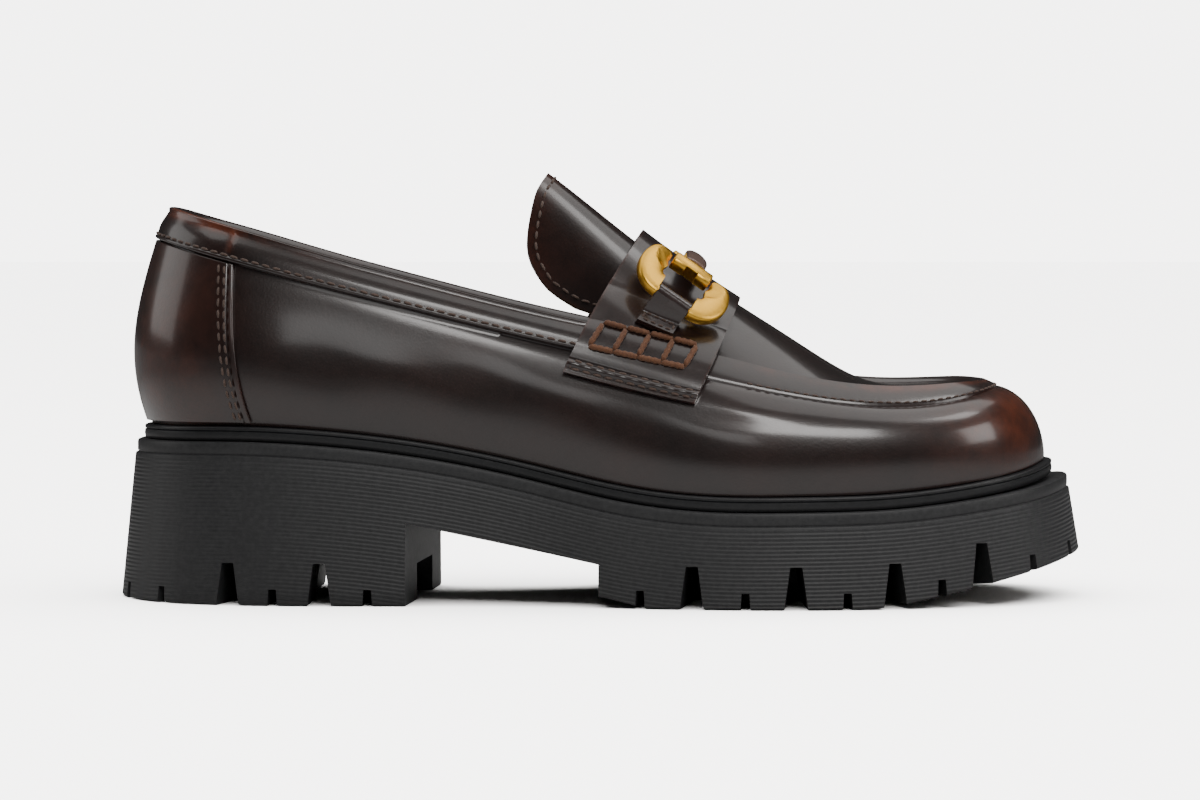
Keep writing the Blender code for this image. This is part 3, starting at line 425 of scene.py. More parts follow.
def newMaterial(name, group, values, bump, depth, constants, maskName=None):
    material = bpy.data.materials.new(name)
    material.use_nodes = True
    tree = material.node_tree
    shader = tree.nodes["Principled BSDF"]
    effect = addNode(tree, "ShaderNodeGroup", node_tree=groups[group])
    for key, value in values.items():
        effect.inputs[key].default_value = colorOf(value) if isinstance(value, tuple) else value
    if maskName:
        mask = addNode(tree, "ShaderNodeAttribute", attribute_name=maskName)
        tree.links.new(mask.outputs["Fac"], effect.inputs["Mask"])
    tree.links.new(effect.outputs["Color"], shader.inputs["Base Color"])
    tree.links.new(effect.outputs["Roughness"], shader.inputs["Roughness"])
    relief = addNode(tree, "ShaderNodeBump", {"Strength": bump, "Distance": depth},
                     {"Height": effect.outputs["Height"]})
    tree.links.new(relief.outputs[0], shader.inputs["Normal"])
    for key, value in constants.items():
        shader.inputs[key].default_value = value
    return material


def speckled(name, base, light, scale, roughness, spread, bump, depth, constants):
    values = {"Base": base, "Light": light, "Scale": scale, "Roughness": roughness, "Spread": spread}
    return newMaterial(name, "speckle", values, bump, depth, constants)


leatherLook = dict(dark=(0.0150, 0.0070, 0.0060), burnish=(0.17, 0.040, 0.016), roughness=0.36,
                   coat=1.0, coatRoughness=0.15, grain=1.0, bump=0.22, depth=0.12 * mm)
ribLook = dict(pitch=1.15, below=4.9, bump=0.55, depth=0.14 * mm)   # pitch and start in mm down the wall


def leatherMaterial():
    look = leatherLook
    values = {key: look[key.lower()] for key in ("Dark", "Burnish", "Roughness", "Grain")}
    gloss = {"Coat Weight": look["coat"], "Coat Roughness": look["coatRoughness"], "Specular IOR Level": 0.5}
    return newMaterial("burnishedBrownLeather", "leather", values, look["bump"], look["depth"], gloss,
                       "burnish")


def ribbedRubber():
    material = speckled("charcoalRubber", (0.0280, 0.0290, 0.0306), (0.050, 0.051, 0.053), 700.0, 0.50, 0.2,
                        0.25, 0.15 * mm, {"Specular IOR Level": 0.45})
    tree = material.node_tree
    into = tree.nodes["Principled BSDF"].inputs["Normal"]
    # Fine moulded ribs run round the wall below the band; V of the UV map is the depth in mm
    uv = addNode(tree, "ShaderNodeUVMap", uv_map="wall").outputs[0]
    depth = addNode(tree, "ShaderNodeSeparateXYZ", {}, {"Vector": uv}).outputs["Y"]
    wave = mathNode(tree, "SINE", mathNode(tree, "MULTIPLY", depth, 2 * math.pi / ribLook["pitch"]))
    ribs = mathNode(tree, "MULTIPLY", wave, mathNode(tree, "GREATER_THAN", depth, ribLook["below"]))
    ribBump = addNode(tree, "ShaderNodeBump", {"Strength": ribLook["bump"], "Distance": ribLook["depth"]},
                      {"Height": ribs, "Normal": into.links[0].from_socket})
    tree.links.new(ribBump.outputs[0], into)
    return material


# Colour, lighter speckle, scale of the speckle, roughness and its spread, bump and its depth
finish = dict(
    leather=leatherMaterial(),
    lining=speckled("liningLeather", (0.20, 0.125, 0.08), (0.27, 0.18, 0.12), 500.0, 0.62, 0.1,
                    0.3, 0.2 * mm, {"Sheen Weight": 0.15}),
    rubber=ribbedRubber(),
    smoothRubber=speckled("midsoleRubber", (0.0145, 0.0155, 0.0168), (0.024, 0.025, 0.027), 500.0, 0.42, 0.15,
                          0.12, 0.1 * mm, {"Specular IOR Level": 0.5}),
    gold=speckled("satinGold", (0.86, 0.47, 0.055), (0.96, 0.58, 0.10), 900.0, 0.37, 0.18,
                  0.06, 0.05 * mm, {"Metallic": 1.0}),
    thread=speckled("taupeThread", (0.085, 0.052, 0.040), (0.17, 0.112, 0.088), 2500.0, 0.75, 0.1,
                    0.5, 0.1 * mm, {"Sheen Weight": 0.2}),
    cord=speckled("russetCord", (0.115, 0.042, 0.018), (0.27, 0.115, 0.048), 1800.0, 0.7, 0.1,
                  0.5, 0.1 * mm, {"Sheen Weight": 0.2}),
    # The centre link is metal coloured taupe: painted shade standing in for gold seen in shade
    cap=speckled("taupePaintedShade", (0.20, 0.125, 0.10), (0.26, 0.17, 0.14), 300.0, 0.3, 0.1,
                 0.05, 0.05 * mm, {"Coat Weight": 0.6, "Coat Roughness": 0.12}),
)
print("materials ready")


# Mesh helpers

weldReach = 0.000004


def addObject(name, data):
    obj = bpy.data.objects.new(name, data)
    bpy.context.scene.collection.objects.link(obj)
    return obj


def cleanMesh(mesh, weld):
    work = bmesh.new()
    work.from_mesh(mesh)
    if weld:
        bmesh.ops.remove_doubles(work, verts=work.verts, dist=weldReach)
        bmesh.ops.dissolve_degenerate(work, edges=work.edges, dist=weldReach)
    bmesh.ops.recalc_face_normals(work, faces=work.faces)
    work.to_mesh(mesh)
    work.free()


def makePiece(name, points, faces, material, slot, replaces=(), masks=None, uvs=None, angle=40,
              second=None, secondFrom=None):
    mesh = bpy.data.meshes.new(name)
    mesh.from_pydata([tuple(p) for p in np.asarray(points) + shoeShift], [], faces)
    if uvs is not None:
        corners = np.concatenate([uvs[list(face)] for face in faces])
        mesh.uv_layers.new(name="wall").data.foreach_set("uv", corners.ravel())
    mesh.materials.append(material)
    if second:
        mesh.materials.append(second)
        for i in range(secondFrom, len(faces)):
            mesh.polygons[i].material_index = 1
    attribute = mesh.attributes.new("burnish", "FLOAT", "POINT")
    if masks is not None:
        attribute.data.foreach_set("value", np.asarray(masks, float).ravel())
    cleanMesh(mesh, True)
    mesh.shade_smooth()
    mesh.set_sharp_from_angle(angle=math.radians(angle))
    obj = addObject(name, mesh)
    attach(obj, "root")
    if replaces:
        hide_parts(*replaces)
    return obj


def seated(point, obj):
    # The nearest place on a piece's surface, in the last's frame
    found, place, normal, _ = obj.closest_point_on_mesh(Vector(point + shoeShift))
    return np.array(place) - shoeShift if found else point


def bevel(obj, width, segments=3, angle=50):
    modifier = obj.modifiers.new("edges", "BEVEL")
    modifier.width = width
    modifier.segments = segments
    modifier.limit_method = "ANGLE"
    modifier.angle_limit = math.radians(angle)
    modifier.harden_normals = False
    applyModifiers(obj)


def applyModifiers(obj):
    graph = bpy.context.evaluated_depsgraph_get()
    shape = bpy.data.meshes.new_from_object(obj.evaluated_get(graph))
    obj.modifiers.clear()
    obj.data = shape


def gridFaces(rows, columns, start=0, flip=False, wrap=False):
    faces = []
    for i in range(rows - 1):
        for j in range(columns if wrap else columns - 1):
            n = (j + 1) % columns
            quad = (start + i * columns + j, start + i * columns + n,
                    start + (i + 1) * columns + n, start + (i + 1) * columns + j)
            faces.append(quad[::-1] if flip else quad)
    return faces


def tubeFaces(count, sides, start=0):
    # The side and both end caps of a tube of rings
    faces = gridFaces(count, sides, start, wrap=True)
    end = start + (count - 1) * sides
    return faces + [tuple(range(start + sides - 1, start - 1, -1)), tuple(range(end, end + sides))]


def slab(name, lower, upper, edge, masks, replaces):
    lower, upper = np.asarray(lower), np.asarray(upper)
    rows, columns = lower.shape[:2]
    size = rows * columns
    faces = gridFaces(rows, columns) + gridFaces(rows, columns, size, True)
    rim = [j for j in range(columns)] + [i * columns + columns - 1 for i in range(1, rows)]
    rim += [(rows - 1) * columns + j for j in range(columns - 2, -1, -1)]
    rim += [i * columns for i in range(rows - 2, 0, -1)]
    for a, b in zip(rim, rim[1:] + rim[:1]):
        faces.append((a, size + a, size + b, b))
    points = np.vstack([lower.reshape(-1, 3), upper.reshape(-1, 3)])
    masks = np.concatenate([np.ravel(masks), np.ravel(masks)])
    obj = makePiece(name, points, faces, finish["leather"], "upper_leather", replaces, masks)
    bevel(obj, edge)
    return obj


def sweep(name, sections, material, slot, **rest):
    sections = np.asarray(sections)
    faces = tubeFaces(*sections.shape[:2])
    return makePiece(name, sections.reshape(-1, 3), faces, material, slot, **rest)


def cut(target, cutters, operation="DIFFERENCE"):
    for cutter in cutters:
        modifier = target.modifiers.new("cut", "BOOLEAN")
        modifier.operation = operation
        modifier.object = cutter
        modifier.solver = "EXACT"
        applyModifiers(target)
        bpy.data.objects.remove(cutter)


def rawMesh(points, faces):
    mesh = bpy.data.meshes.new("cutter")
    mesh.from_pydata([tuple(p) for p in np.asarray(points) + shoeShift], [], faces)
    cleanMesh(mesh, False)
    return addObject("cutter", mesh)


def prismCutter(sections):
    sections = np.asarray(sections)
    return rawMesh(sections.reshape(-1, 3), tubeFaces(*sections.shape[:2]))


# Thread: rows of short stitches that dip into the leather at both ends

thread = dict(length=2.5 * mm, gap=0.75 * mm, radius=0.33 * mm, flat=1.15, rings=6, sides=6)


def stitchRow(points, normals, look):
    points, normals = np.asarray(points), np.asarray(normals)
    steps = np.linalg.norm(np.diff(points, axis=0), axis=1)
    arc = np.concatenate([[0], np.cumsum(steps)])
    pitch = look["length"] + look["gap"]
    count = max(1, int(round(arc[-1] / pitch)))
    pitch = arc[-1] / count
    vertices, faces = [], []
    rings, sides = look["rings"], look["sides"]
    for k in range(count):
        start = (k + 0.5) * pitch - look["length"] / 2
        share = np.linspace(0, 1, rings)
        along = start + share * look["length"]
        place = np.stack([np.interp(along, arc, points[:, c]) for c in range(3)], axis=1)
        normal = unit(np.stack([np.interp(along, arc, normals[:, c]) for c in range(3)], axis=1))
        run = unit(np.gradient(place, axis=0))
        side = np.cross(run, normal)
        swell = np.sqrt(np.clip(1 - (2 * share - 1) ** 4, 0.12, 1)) * look["radius"]
        rise = look["radius"] * (0.75 - 1.1 * (2 * share - 1) ** 4)
        skewed = rng.uniform(-0.12, 0.12) * look["radius"] * (2 * share - 1) * 3
        place = place + normal * rise[:, None] + side * skewed[:, None]
        base = len(vertices)
        for i in range(rings):
            for t in np.arange(sides) * 2 * math.pi / sides:
                around = side[i] * math.cos(t) * look["flat"] + normal[i] * math.sin(t)
                vertices.append(place[i] + swell[i] * around)
        faces += tubeFaces(rings, sides, base)
    return vertices, faces


def addStitches(name, rows, look=thread):
    vertices, faces = [], []
    for points, normals in rows:
        more, moreFaces = stitchRow(points, normals, look)
        faces += [tuple(v + len(vertices) for v in face) for face in moreFaces]
        vertices += more
    return makePiece(name, vertices, faces, finish["thread"], "upper_leather", angle=80)


# Upper: a shell with an outer and a lining face, a seam groove and soft folds

upperLook = dict(columns=420, wall=26, band=10, lip=10, arch=14, groove=0.35 * mm, grooveWidth=0.035,
                 gather=0.05 * mm, gathers=150)
polish = dict(toe=1.1, crest=0.9, heel=0.34, base=0.04)
# Soft folds: place along, girth, length along, width in girth, height
folds = (
    (0.63, 0.62, 0.05, 0.10, -0.35 * mm), (0.665, 0.70, 0.05, 0.08, 0.25 * mm),
    (0.60, 0.40, 0.06, 0.12, -0.20 * mm), (0.36, 0.55, 0.05, 0.20, -0.30 * mm),
    (0.28, 0.50, 0.06, 0.22, 0.30 * mm), (0.20, 0.45, 0.04, 0.25, -0.25 * mm),
    (0.45, 0.60, 0.05, 0.15, 0.20 * mm), (0.80, 0.55, 0.05, 0.15, -0.15 * mm),
)


def alongShare(points):
    return (points[..., 0] - last["start"]) / last["length"]


def relief(points, s, girth):
    along = alongShare(points)
    height = np.zeros(np.shape(along))
    for place, centre, length, width, rise in folds:
        height += rise * bell(along, place, length) * bell(girth, centre, width)
    # Groove where the plug or the binding is sewn to the wall, and the gathers of the plug seam round the toe
    height -= upperLook["groove"] * bell(girth, 1.0, upperLook["grooveWidth"])
    gather = upperLook["gather"] * bell(along, 1.0, 0.18) * bell(girth, 1.05, 0.22)
    return height + gather * np.sin(s * 2 * math.pi * upperLook["gathers"])


def burnishMask(points, girth):
    along = alongShare(points)
    toe = bell(along, 0.99, 0.085) * bell(girth, 0.62, 0.42) * polish["toe"]
    crest = bell(girth, 1.9, 0.20) * np.clip((along - 0.60) / 0.2, 0, 1) * polish["crest"]
    heel = bell(along, -0.01, 0.08) * polish["heel"]
    return np.clip(toe + crest + heel + polish["base"], 0, 1)


def makeUpper():
    count = upperLook["columns"]
    half = count // 2
    params = np.arange(count) / count
    first = int(math.ceil(float(placeToS(throatPlace, 2.0, False)) * count))
    look = upperLook
    girths = np.concatenate([
        np.linspace(0, 1, look["wall"], endpoint=False), np.linspace(1, 2, look["band"], endpoint=False),
        np.linspace(2, 3, look["lip"], endpoint=False), 3 + np.linspace(0, 1, look["arch"]) ** 1.15])
    crestRow = look["wall"] + look["band"]
    valleyRow = crestRow + look["lip"]
    lastRow = len(girths) - 1
    s, girth = np.meshgrid(params, girths, indexing="ij")
    place = skin(s, girth)
    normal = skinNormal(s, girth)
    # Both halves share one normal on the middle line, and at the tip of the toe it is given
    middle = unit(normal[:, lastRow] + normal[(-np.arange(count)) % count, lastRow])
    normal[:, lastRow] = middle
    normal[half, crestRow:] = (0, 0, 1.0)
    normal[half, crestRow] = unit(np.array([0.5, 0, 0.85]))
    place = place + normal * relief(place, s, girth)[..., None]
    level = normal.copy()
    level[:, 0, 2] = 0
    inside = place - unit(level) * upperWall
    mask = burnishMask(place, girth)
    keys, order = {}, []

    def vertex(i, row):
        # The halves meet on the middle line, and the rows past the valley end in one point at the toe
        i = i % count
        if row == lastRow:
            i = min(i, count - i)
        if i == half and row > valleyRow:
            row = valleyRow
        if (i, row) not in keys:
            keys[i, row] = len(order)
            order.append((i, row))
        return keys[i, row]

    faces = []
    for i in range(count):
        for row in range(lastRow if first <= i < count - first else crestRow):
            corners = [vertex(i, row), vertex(i + 1, row), vertex(i + 1, row + 1), vertex(i, row + 1)]
            corners = list(dict.fromkeys(corners))
            if len(corners) > 2:
                faces.append(tuple(corners))
    edges = {}
    for face in faces:
        for a, b in zip(face, face[1:] + face[:1]):
            edges[a, b] = True
    total = len(order)
    rims = [(b, a, total + a, total + b) for a, b in edges if (b, a) not in edges]
    index = tuple(np.array(order).T)
    lining = [tuple(total + v for v in face[::-1]) for face in faces]
    points = np.vstack([place[index], inside[index]])
    masks = np.concatenate([mask[index], mask[index] * 0])
    return makePiece("upper_shell", points, faces + rims + lining, finish["leather"], "upper_leather",
                     ("upper",), masks, second=finish["lining"], secondFrom=len(faces) + len(rims))


makeUpper()
print("upper made")


# Heel counter with a double-sewn front edge

counter = dict(place=0.101, forward=0.0212, thickness=0.9 * mm, rows=44, columns=150,
               sewn=(2.5 * mm, 4.1 * mm), bead=1.1 * mm, ditch=2.0 * mm, raised=0.35,
               edge=0.35 * mm)


def counterEdge(girth):
    # The front edge stands upright and curves forward towards the sole
    return counter["place"] + counter["forward"] * (1 - girth) ** 3.2


def makeCounter():
    girths = np.linspace(0.02, 0.998, counter["rows"])
    lower, upper, masks = [], [], []
    for girth in girths:
        edge = float(placeToS(counterEdge(girth), girth, False))
        s = np.linspace(-edge, edge, counter["columns"])
        place, normal = skin(s, np.full(s.shape, girth)), skinNormal(s, np.full(s.shape, girth))
        out = np.abs(s) / edge
        back = edge * (1 - out) * 2.6 * last["length"]   # distance back from the front edge
        relieved = bell(back, counter["bead"], 0.7 * mm) - bell(back, counter["ditch"], 0.4 * mm)
        thick = counter["thickness"] * (1 + counter["raised"] * relieved)
        lower.append(place + normal * seamGap)
        upper.append(place + normal * (seamGap + thick[:, None]))
        masks.append(burnishMask(place, girth) + 0.15 * bell(out, 1, 0.03))
    slab("heel_counter_panel", lower, upper, counter["edge"], masks, ("heel_counter",))
    rows = []
    for side in (False, True):
        for back in counter["sewn"]:
            girthsFine = np.linspace(0.03, 0.985, 60)
            points, normals = [], []
            for girth in girthsFine:
                s = placeToS(counterEdge(girth) - back / last["length"], girth, side)
                normal = skinNormal(s, girth)
                points.append(skin(s, girth) + normal * (seamGap + counter["thickness"]))
                normals.append(normal)
            rows.append((points, normals))
    addStitches("counter_stitches", rows)


makeCounter()
print("counter made")


# Collar binding: outside leg, rolled rim and inside leg

binding = dict(place=0.505, thickness=1.0 * mm, inside=0.8, columns=300, roll=0.35 * mm, joint=0.1015,
               pipe=0.45 * mm, puff=0.2 * mm, jointDip=0.3 * mm, sewn=1.19)


def makeBinding():
    edge = float(placeToS(binding["place"], 2.0, False))
    gap, thick = seamGap, binding["thickness"]
    deep = 2 - binding["inside"]
    sections, masks = [], []
    legs = np.concatenate([np.linspace(1.02, 1.16, 8), np.linspace(1.22, 1.97, 9)])
    for s in np.linspace(-edge, edge, binding["columns"]):
        normal = skinNormal(s, 1.5)
        rim = skin(s, 2.0)

        def leg(girths, depth):
            return [skin(s, g) + normal * d for g, d in zip(girths, np.broadcast_to(depth, len(girths)))]

        place = float(alongShare(rim))
        free = min(max((0.492 - place) / 0.01, 0), 1)   # flat where it runs under the strap
        pipe = binding["pipe"] * np.sqrt(np.clip(1 - ((legs - 1.085) / 0.065) ** 2, 0, 1))
        joint = binding["jointDip"] * bell(place, binding["joint"], 0.0022)
        swell = binding["puff"] * np.sin(np.clip((legs - 1.2) / 0.6, 0, 1) * math.pi)
        puff = gap + thick + free * (pipe + swell) - joint * (legs > 1.2)
        loop = leg(legs, gap)
        loop += [rim + normal * gap + upAxis * gap, rim - normal * (upperWall + gap) + upAxis * gap]
        inner = np.linspace(deep, 1.97, 5)
        loop += leg(inner[::-1], -upperWall - gap) + leg(inner, -upperWall - gap - thick)
        outerRim, innerRim = gap + thick + binding["roll"] * free, upperWall + gap + thick
        centre = rim - normal * (innerRim - outerRim) / 2
        wide = (outerRim + innerRim) / 2
        for angle in np.linspace(math.pi, 0, 9)[1:-1]:
            tall = gap + thick + 0.3 * mm
            loop.append(centre + normal * wide * math.cos(angle) + upAxis * tall * math.sin(angle))
        loop += leg(legs[::-1], puff[::-1])
        sections.append(loop)
        # The rim's outer edge is rubbed at the heel, and so is the joint
        rubbed = 0.10 + 1.3 * bell(place, 0.03, 0.10)
        seam = 0.9 * bell(place, binding["joint"], 0.003) * (s < 0 or place > 0.05)
        wear = [rubbed * bell(g, 1.95, 0.13) + seam * (g > 1.25) + 0.05 for g in legs[::-1]]
        masks.append([0.08] * (len(loop) - len(legs) - 3) + [rubbed] * 3 + wear)
    sweep("collar_band", sections, finish["leather"], "upper_leather", replaces=("collar_binding",),
          masks=np.array(masks).ravel())
    points, normals = [], []
    for s in np.linspace(-edge * 0.975, edge * 0.975, 700):
        normal = skinNormal(s, 1.5)
        points.append(skin(s, binding["sewn"]) + normal * (gap + thick + 0.02 * mm))
        normals.append(normal)
    addStitches("collar_stitches", [(points, normals)])


makeBinding()
print("binding made")


# Tongue

tongue = dict(thickness=2.2 * mm, edge=0.6 * mm, lap=14 * mm, side=0.92, across=49, along=36,
              sewn=2.5 * mm, apart=2.0 * mm)
tongueRows = (
    # across, as a share of the instep's half, and along
    (0.00, 0.4490), (0.25, 0.4450), (0.45, 0.4350), (0.62, 0.4270), (0.74, 0.4225),
    (0.82, 0.4260), (0.87, 0.4375), (0.90, 0.4530), (0.92, 0.4760),
)
tongueEdge = splineThrough([row[0] for row in tongueRows], [row[1] for row in tongueRows], False)


def tonguePoint(share, step, depth):
    girth = 4 - abs(share)
    back = float(tongueEdge(abs(share))[0])
    place = back + (throatPlace + tongue["lap"] / last["length"] - back) * step
    s = placeToS(place, girth, share > 0)
    point, normal = skin(s, girth), skinNormal(s, girth)
    if abs(share) < 0.02:
        normal = unit(normal * np.array([1, 0, 1]))
    return point - normal * (upperWall + seamGap + tongue["thickness"] * depth), normal


def makeTongue():
    shares = np.sin(np.linspace(-1, 1, tongue["across"]) * math.pi / 2) * tongue["side"]
    steps = np.linspace(0, 1, tongue["along"]) ** 1.2
    upper, lower = ([[tonguePoint(a, b, depth)[0] for b in steps] for a in shares] for depth in (0, 1))
    masks = [[0.15 + 0.5 * bell(b, 0, 0.10) for b in steps] for a in shares]
    panel = slab("tongue_sheet", lower, upper, tongue["edge"], masks, ("tongue",))
    rows = []
    for side in (-1, 1):
        edge = [tonguePoint(side * a, 0, 0) for a in np.linspace(0.0, tongue["side"], 90)]
        edge += [tonguePoint(side * tongue["side"], b, 0) for b in np.linspace(0.02, 0.5, 40)]
        points, normals = np.array([p for p, _ in edge]), np.array([n for _, n in edge])
        inward = unit(np.cross(normals, np.gradient(points, axis=0)))
        inward *= np.sign(inward[40] @ (tonguePoint(side * 0.3, 0.3, 0)[0] - points[40]))
        points = points + inward * tongue["sewn"]
        keep = points[:, 1] * side > tongue["apart"]
        points = np.array([seated(p, panel) for p in points[keep]])
        rows.append((points, normals[keep]))
    addStitches("tongue_stitches", rows)


makeTongue()
print("tongue made")


# Saddle strap over the instep

strap = dict(thickness=1.6 * mm, edge=0.45 * mm, lift=1.7 * mm, foot=0.72, seated=0.32,
             span=(2.0, 3.2), high=106 * mm)
# Both edges lie in sloping planes: x and z at the foot, lean per height, backward bow halfway up
strapEdges = ((-10.5 * mm, 66.9 * mm, 0.579, 1.3 * mm), (26.6 * mm, 57.9 * mm, 0.513, 0.6 * mm))


def strapPlain(place, girth, inner):
    s = placeToS(place, girth, inner)
    point, normal = skin(s, np.full(np.shape(s), girth)), skinNormal(s, np.full(np.shape(s), girth), 0.3)
    if girth > 3.99:
        normal = unit(normal * np.array([1, 0, 1]))
    return point, normal


def strapAt(places, girth, inner, depth):
    # Depth 0 is the underside of the strap and 1 its outer face
    # Over the span it is one soft curve, so it doesn't dip into the valley beside the plug
    start, end = strap["span"]
    if start < girth < end:
        low, high = strapPlain(places, start, inner), strapPlain(places, end, inner)
        share = (girth - start) / (end - start)
        share = share * share * (3 - 2 * share) * 0.5 + share * 0.5
        point = low[0] * (1 - share) + high[0] * share
        normal = unit(low[1] * (1 - share) + high[1] * share)
    else:
        point, normal = strapPlain(places, girth, inner)
    ease = min(max((4 - girth) / 1.6, 0), 1)
    clear = seamGap * 1.5 + (strap["lift"] - seamGap * 1.5) * ease * ease * (3 - 2 * ease)
    # The foot comes down to the wall below the binding
    seat = min(max((girth - strap["foot"]) / 0.30, 0), 1)
    clear *= strap["seated"] + (1 - strap["seated"]) * seat * seat * (3 - 2 * seat)
    return point + normal * (clear + strap["thickness"] * np.reshape(depth, (-1, 1))), normal


@functools.lru_cache(maxsize=None)
def strapSides(girth, inner):
    places = np.array([0.50, 0.62])
    for _ in range(9):
        points = strapAt(places, girth, inner, np.ones(2))[0]
        for k, (x, z, lean, bow) in enumerate(strapEdges):
            rise = points[k, 2] - z
            share = min(max(rise / (strap["high"] - z), 0), 1)
            places[k] += (x + lean * rise - 4 * bow * share * (1 - share) - points[k, 0]) / last["length"]
    return places


# Rows tip down towards the strap's front edge: girth, tip
strapTip = ((0.72, 0.08), (1.0, 0.10), (1.2, 0.14), (1.9, 0.12), (2.6, 0.0))


@functools.lru_cache(maxsize=None)
def strapTable(inner):
    # Underside and normals of the whole strap, looked up by every seam and fitting on it
    girths = np.concatenate([np.linspace(0.62, 2.0, 80), np.linspace(2.0, 3.2, 18)[1:],
                             np.linspace(3.2, 4.0, 26)[1:]])
    shares = np.linspace(0, 1, 25)
    rows = []
    for girth in girths:
        back, front = strapSides(float(girth), inner)
        rows.append(strapAt(back + (front - back) * shares, girth, inner, np.zeros(len(shares))))
    return girths, np.array([p for p, _ in rows]), np.array([n for _, n in rows])


def strapRow(u, girth, inner, depth):
    girths, points, normals = strapTable(bool(inner))
    u = np.asarray(u, float)
    tip = np.interp(girth, *np.array(strapTip).T)
    level = np.interp(girth + tip * (0.8 - u), girths, np.arange(len(girths)))
    i = np.minimum(level.astype(int), len(girths) - 2)
    j = np.minimum((u * (points.shape[1] - 1)).astype(int), points.shape[1] - 2)
    a, b = (level - i)[..., None], (u * (points.shape[1] - 1) - j)[..., None]

    def looked(table):
        return ((table[i, j] * (1 - b) + table[i, j + 1] * b) * (1 - a)
                + (table[i + 1, j] * (1 - b) + table[i + 1, j + 1] * b) * a)

    normal = unit(looked(normals))
    return looked(points) + normal * strap["thickness"] * np.reshape(depth, (-1, 1)), normal


def strapPoint(u, girth, inner, depth):
    points, normals = strapRow(np.array([float(u)]), girth, inner, depth)
    return points[0], normals[0]


strapFoot = dict(lowRow=0.762, highRow=0.825, puff=0.42, tucks=11, tuckDepth=0.28, pull=0.16,
                 inset=0.035, across=60)


def makeStrap():
    down = np.concatenate([np.linspace(strap["foot"], 0.93, 16), np.linspace(0.93, 2.0, 24)[1:],
                           np.linspace(2.0, 3.2, 12)[1:], np.linspace(3.2, 4.0, 24)[1:]])
    path = [(g, False) for g in down] + [(g, True) for g in down[-2::-1]]
    u = (1 - np.cos(np.linspace(0, math.pi, strapFoot["across"]))) / 2
    middle = (strapFoot["lowRow"] + strapFoot["highRow"]) / 2
    half = (strapFoot["highRow"] - strapFoot["lowRow"]) / 2
    lower, upper, masks = [], [], []
    for girth, inner in path:
        # The fold puffs out between the two sewn rows and is tucked at each stitch
        tuck = 1 - strapFoot["tuckDepth"] * (1 - np.abs(np.sin(math.pi * strapFoot["tucks"] * u)))
        depth = 1 + strapFoot["puff"] * tuck * max(1 - ((girth - middle) / half) ** 2, 0) ** 0.5
        for row in ("lowRow", "highRow"):
            depth -= strapFoot["pull"] * bell(girth, strapFoot[row], 0.012)
        lower.append(strapRow(u, girth, inner, 0)[0])
        upper.append(strapRow(u, girth, inner, depth)[0])
        edge = np.minimum(u, 1 - u)
        masks.append(0.06 + 0.30 * bell(edge, 0, 0.015) + 0.15 * bell(girth, strap["foot"], 0.03))
    slab("saddle_strap_leather", lower, upper, strap["edge"], masks, ("saddle_strap",))
    rows = []
    left, right = strapFoot["inset"], 1 - strapFoot["inset"]
    for inner in (False, True):
        lines = [[strapPoint(a, strapFoot[row], inner, 0.90) for a in np.linspace(left, right, 60)]
                 for row in ("lowRow", "highRow")]
        sewn = np.linspace(strapFoot["lowRow"], strapFoot["highRow"], 6)
        lines += [[strapPoint(a, g, inner, 0.98) for g in sewn] for a in (left, right)]
        rows += [([p for p, _ in line], [n for _, n in line]) for line in lines]
    addStitches("strap_foot_stitches", rows)


makeStrap()
print("strap made")


# Whip-stitch: a ladder of thick cord across the strap above its foot

# Each upright as its foot and head, in shares across the strap, between two girths
ladder = dict(low=1.06, high=1.82, radius=0.84 * mm, twist=4,
              lobe=0.14, rise=0.75, dip=0.9,
              uprights=((0.100, 0.120), (0.285, 0.300), (0.470, 0.480), (0.650, 0.660), (0.820, 0.840)))


def cordTube(path, normals, sides=10):
    path, normals = np.asarray(path), np.asarray(normals)
    side = unit(np.cross(unit(np.gradient(path, axis=0)), normals))
    share = np.linspace(0, 1, len(path))
    swell = ladder["radius"] * np.sqrt(np.clip(1 - (2 * share - 1) ** 10, 0.15, 1))
    points = []
    for i in range(len(path)):
        for t in np.arange(sides) * 2 * math.pi / sides:
            lobe = 1 + ladder["lobe"] * math.cos(2 * (t - ladder["twist"] * share[i] * math.pi))
            points.append(path[i] + swell[i] * lobe * (side[i] * math.cos(t) + normals[i] * math.sin(t)))
    return points, tubeFaces(len(path), sides)


def ladderSpot(u, level, inner, rise):
    girth = ladder["low"] + (ladder["high"] - ladder["low"]) * level
    point, normal = strapPoint(u, girth, inner, 1)
    return point + normal * rise, normal


def makeLadder():
    vertices, faces = [], []

    def addCord(start, end, inner):
        path, normals = [], []
        for share in np.linspace(0, 1, 14):
            u = start[0] + (end[0] - start[0]) * share
            level = start[1] + (end[1] - start[1]) * share
            rise = ladder["radius"] * (ladder["rise"] - ladder["dip"] * (2 * share - 1) ** 10)
            point, normal = ladderSpot(u, level, inner, rise)
            path.append(point)
            normals.append(normal)
        more, moreFaces = cordTube(path, normals)
        faces.extend(tuple(v + len(vertices) for v in face) for face in moreFaces)
        vertices.extend(more)

    for inner in (False, True):
        for k, (foot, head) in enumerate(ladder["uprights"]):
            addCord((foot, 0.0), (head, 1.02), inner)
            if k + 1 < len(ladder["uprights"]):
                nextFoot, nextHead = ladder["uprights"][k + 1]
                addCord((head - 0.004, 1.05), (nextHead + 0.004, 1.03), inner)
                addCord((foot - 0.004, -0.03), (nextFoot + 0.004, -0.03), inner)
    makePiece("whip_stitch_cord", vertices, faces, finish["cord"], "upper_leather", angle=80)


makeLadder()
print("whip stitch made")


# Metal trim and its keepers

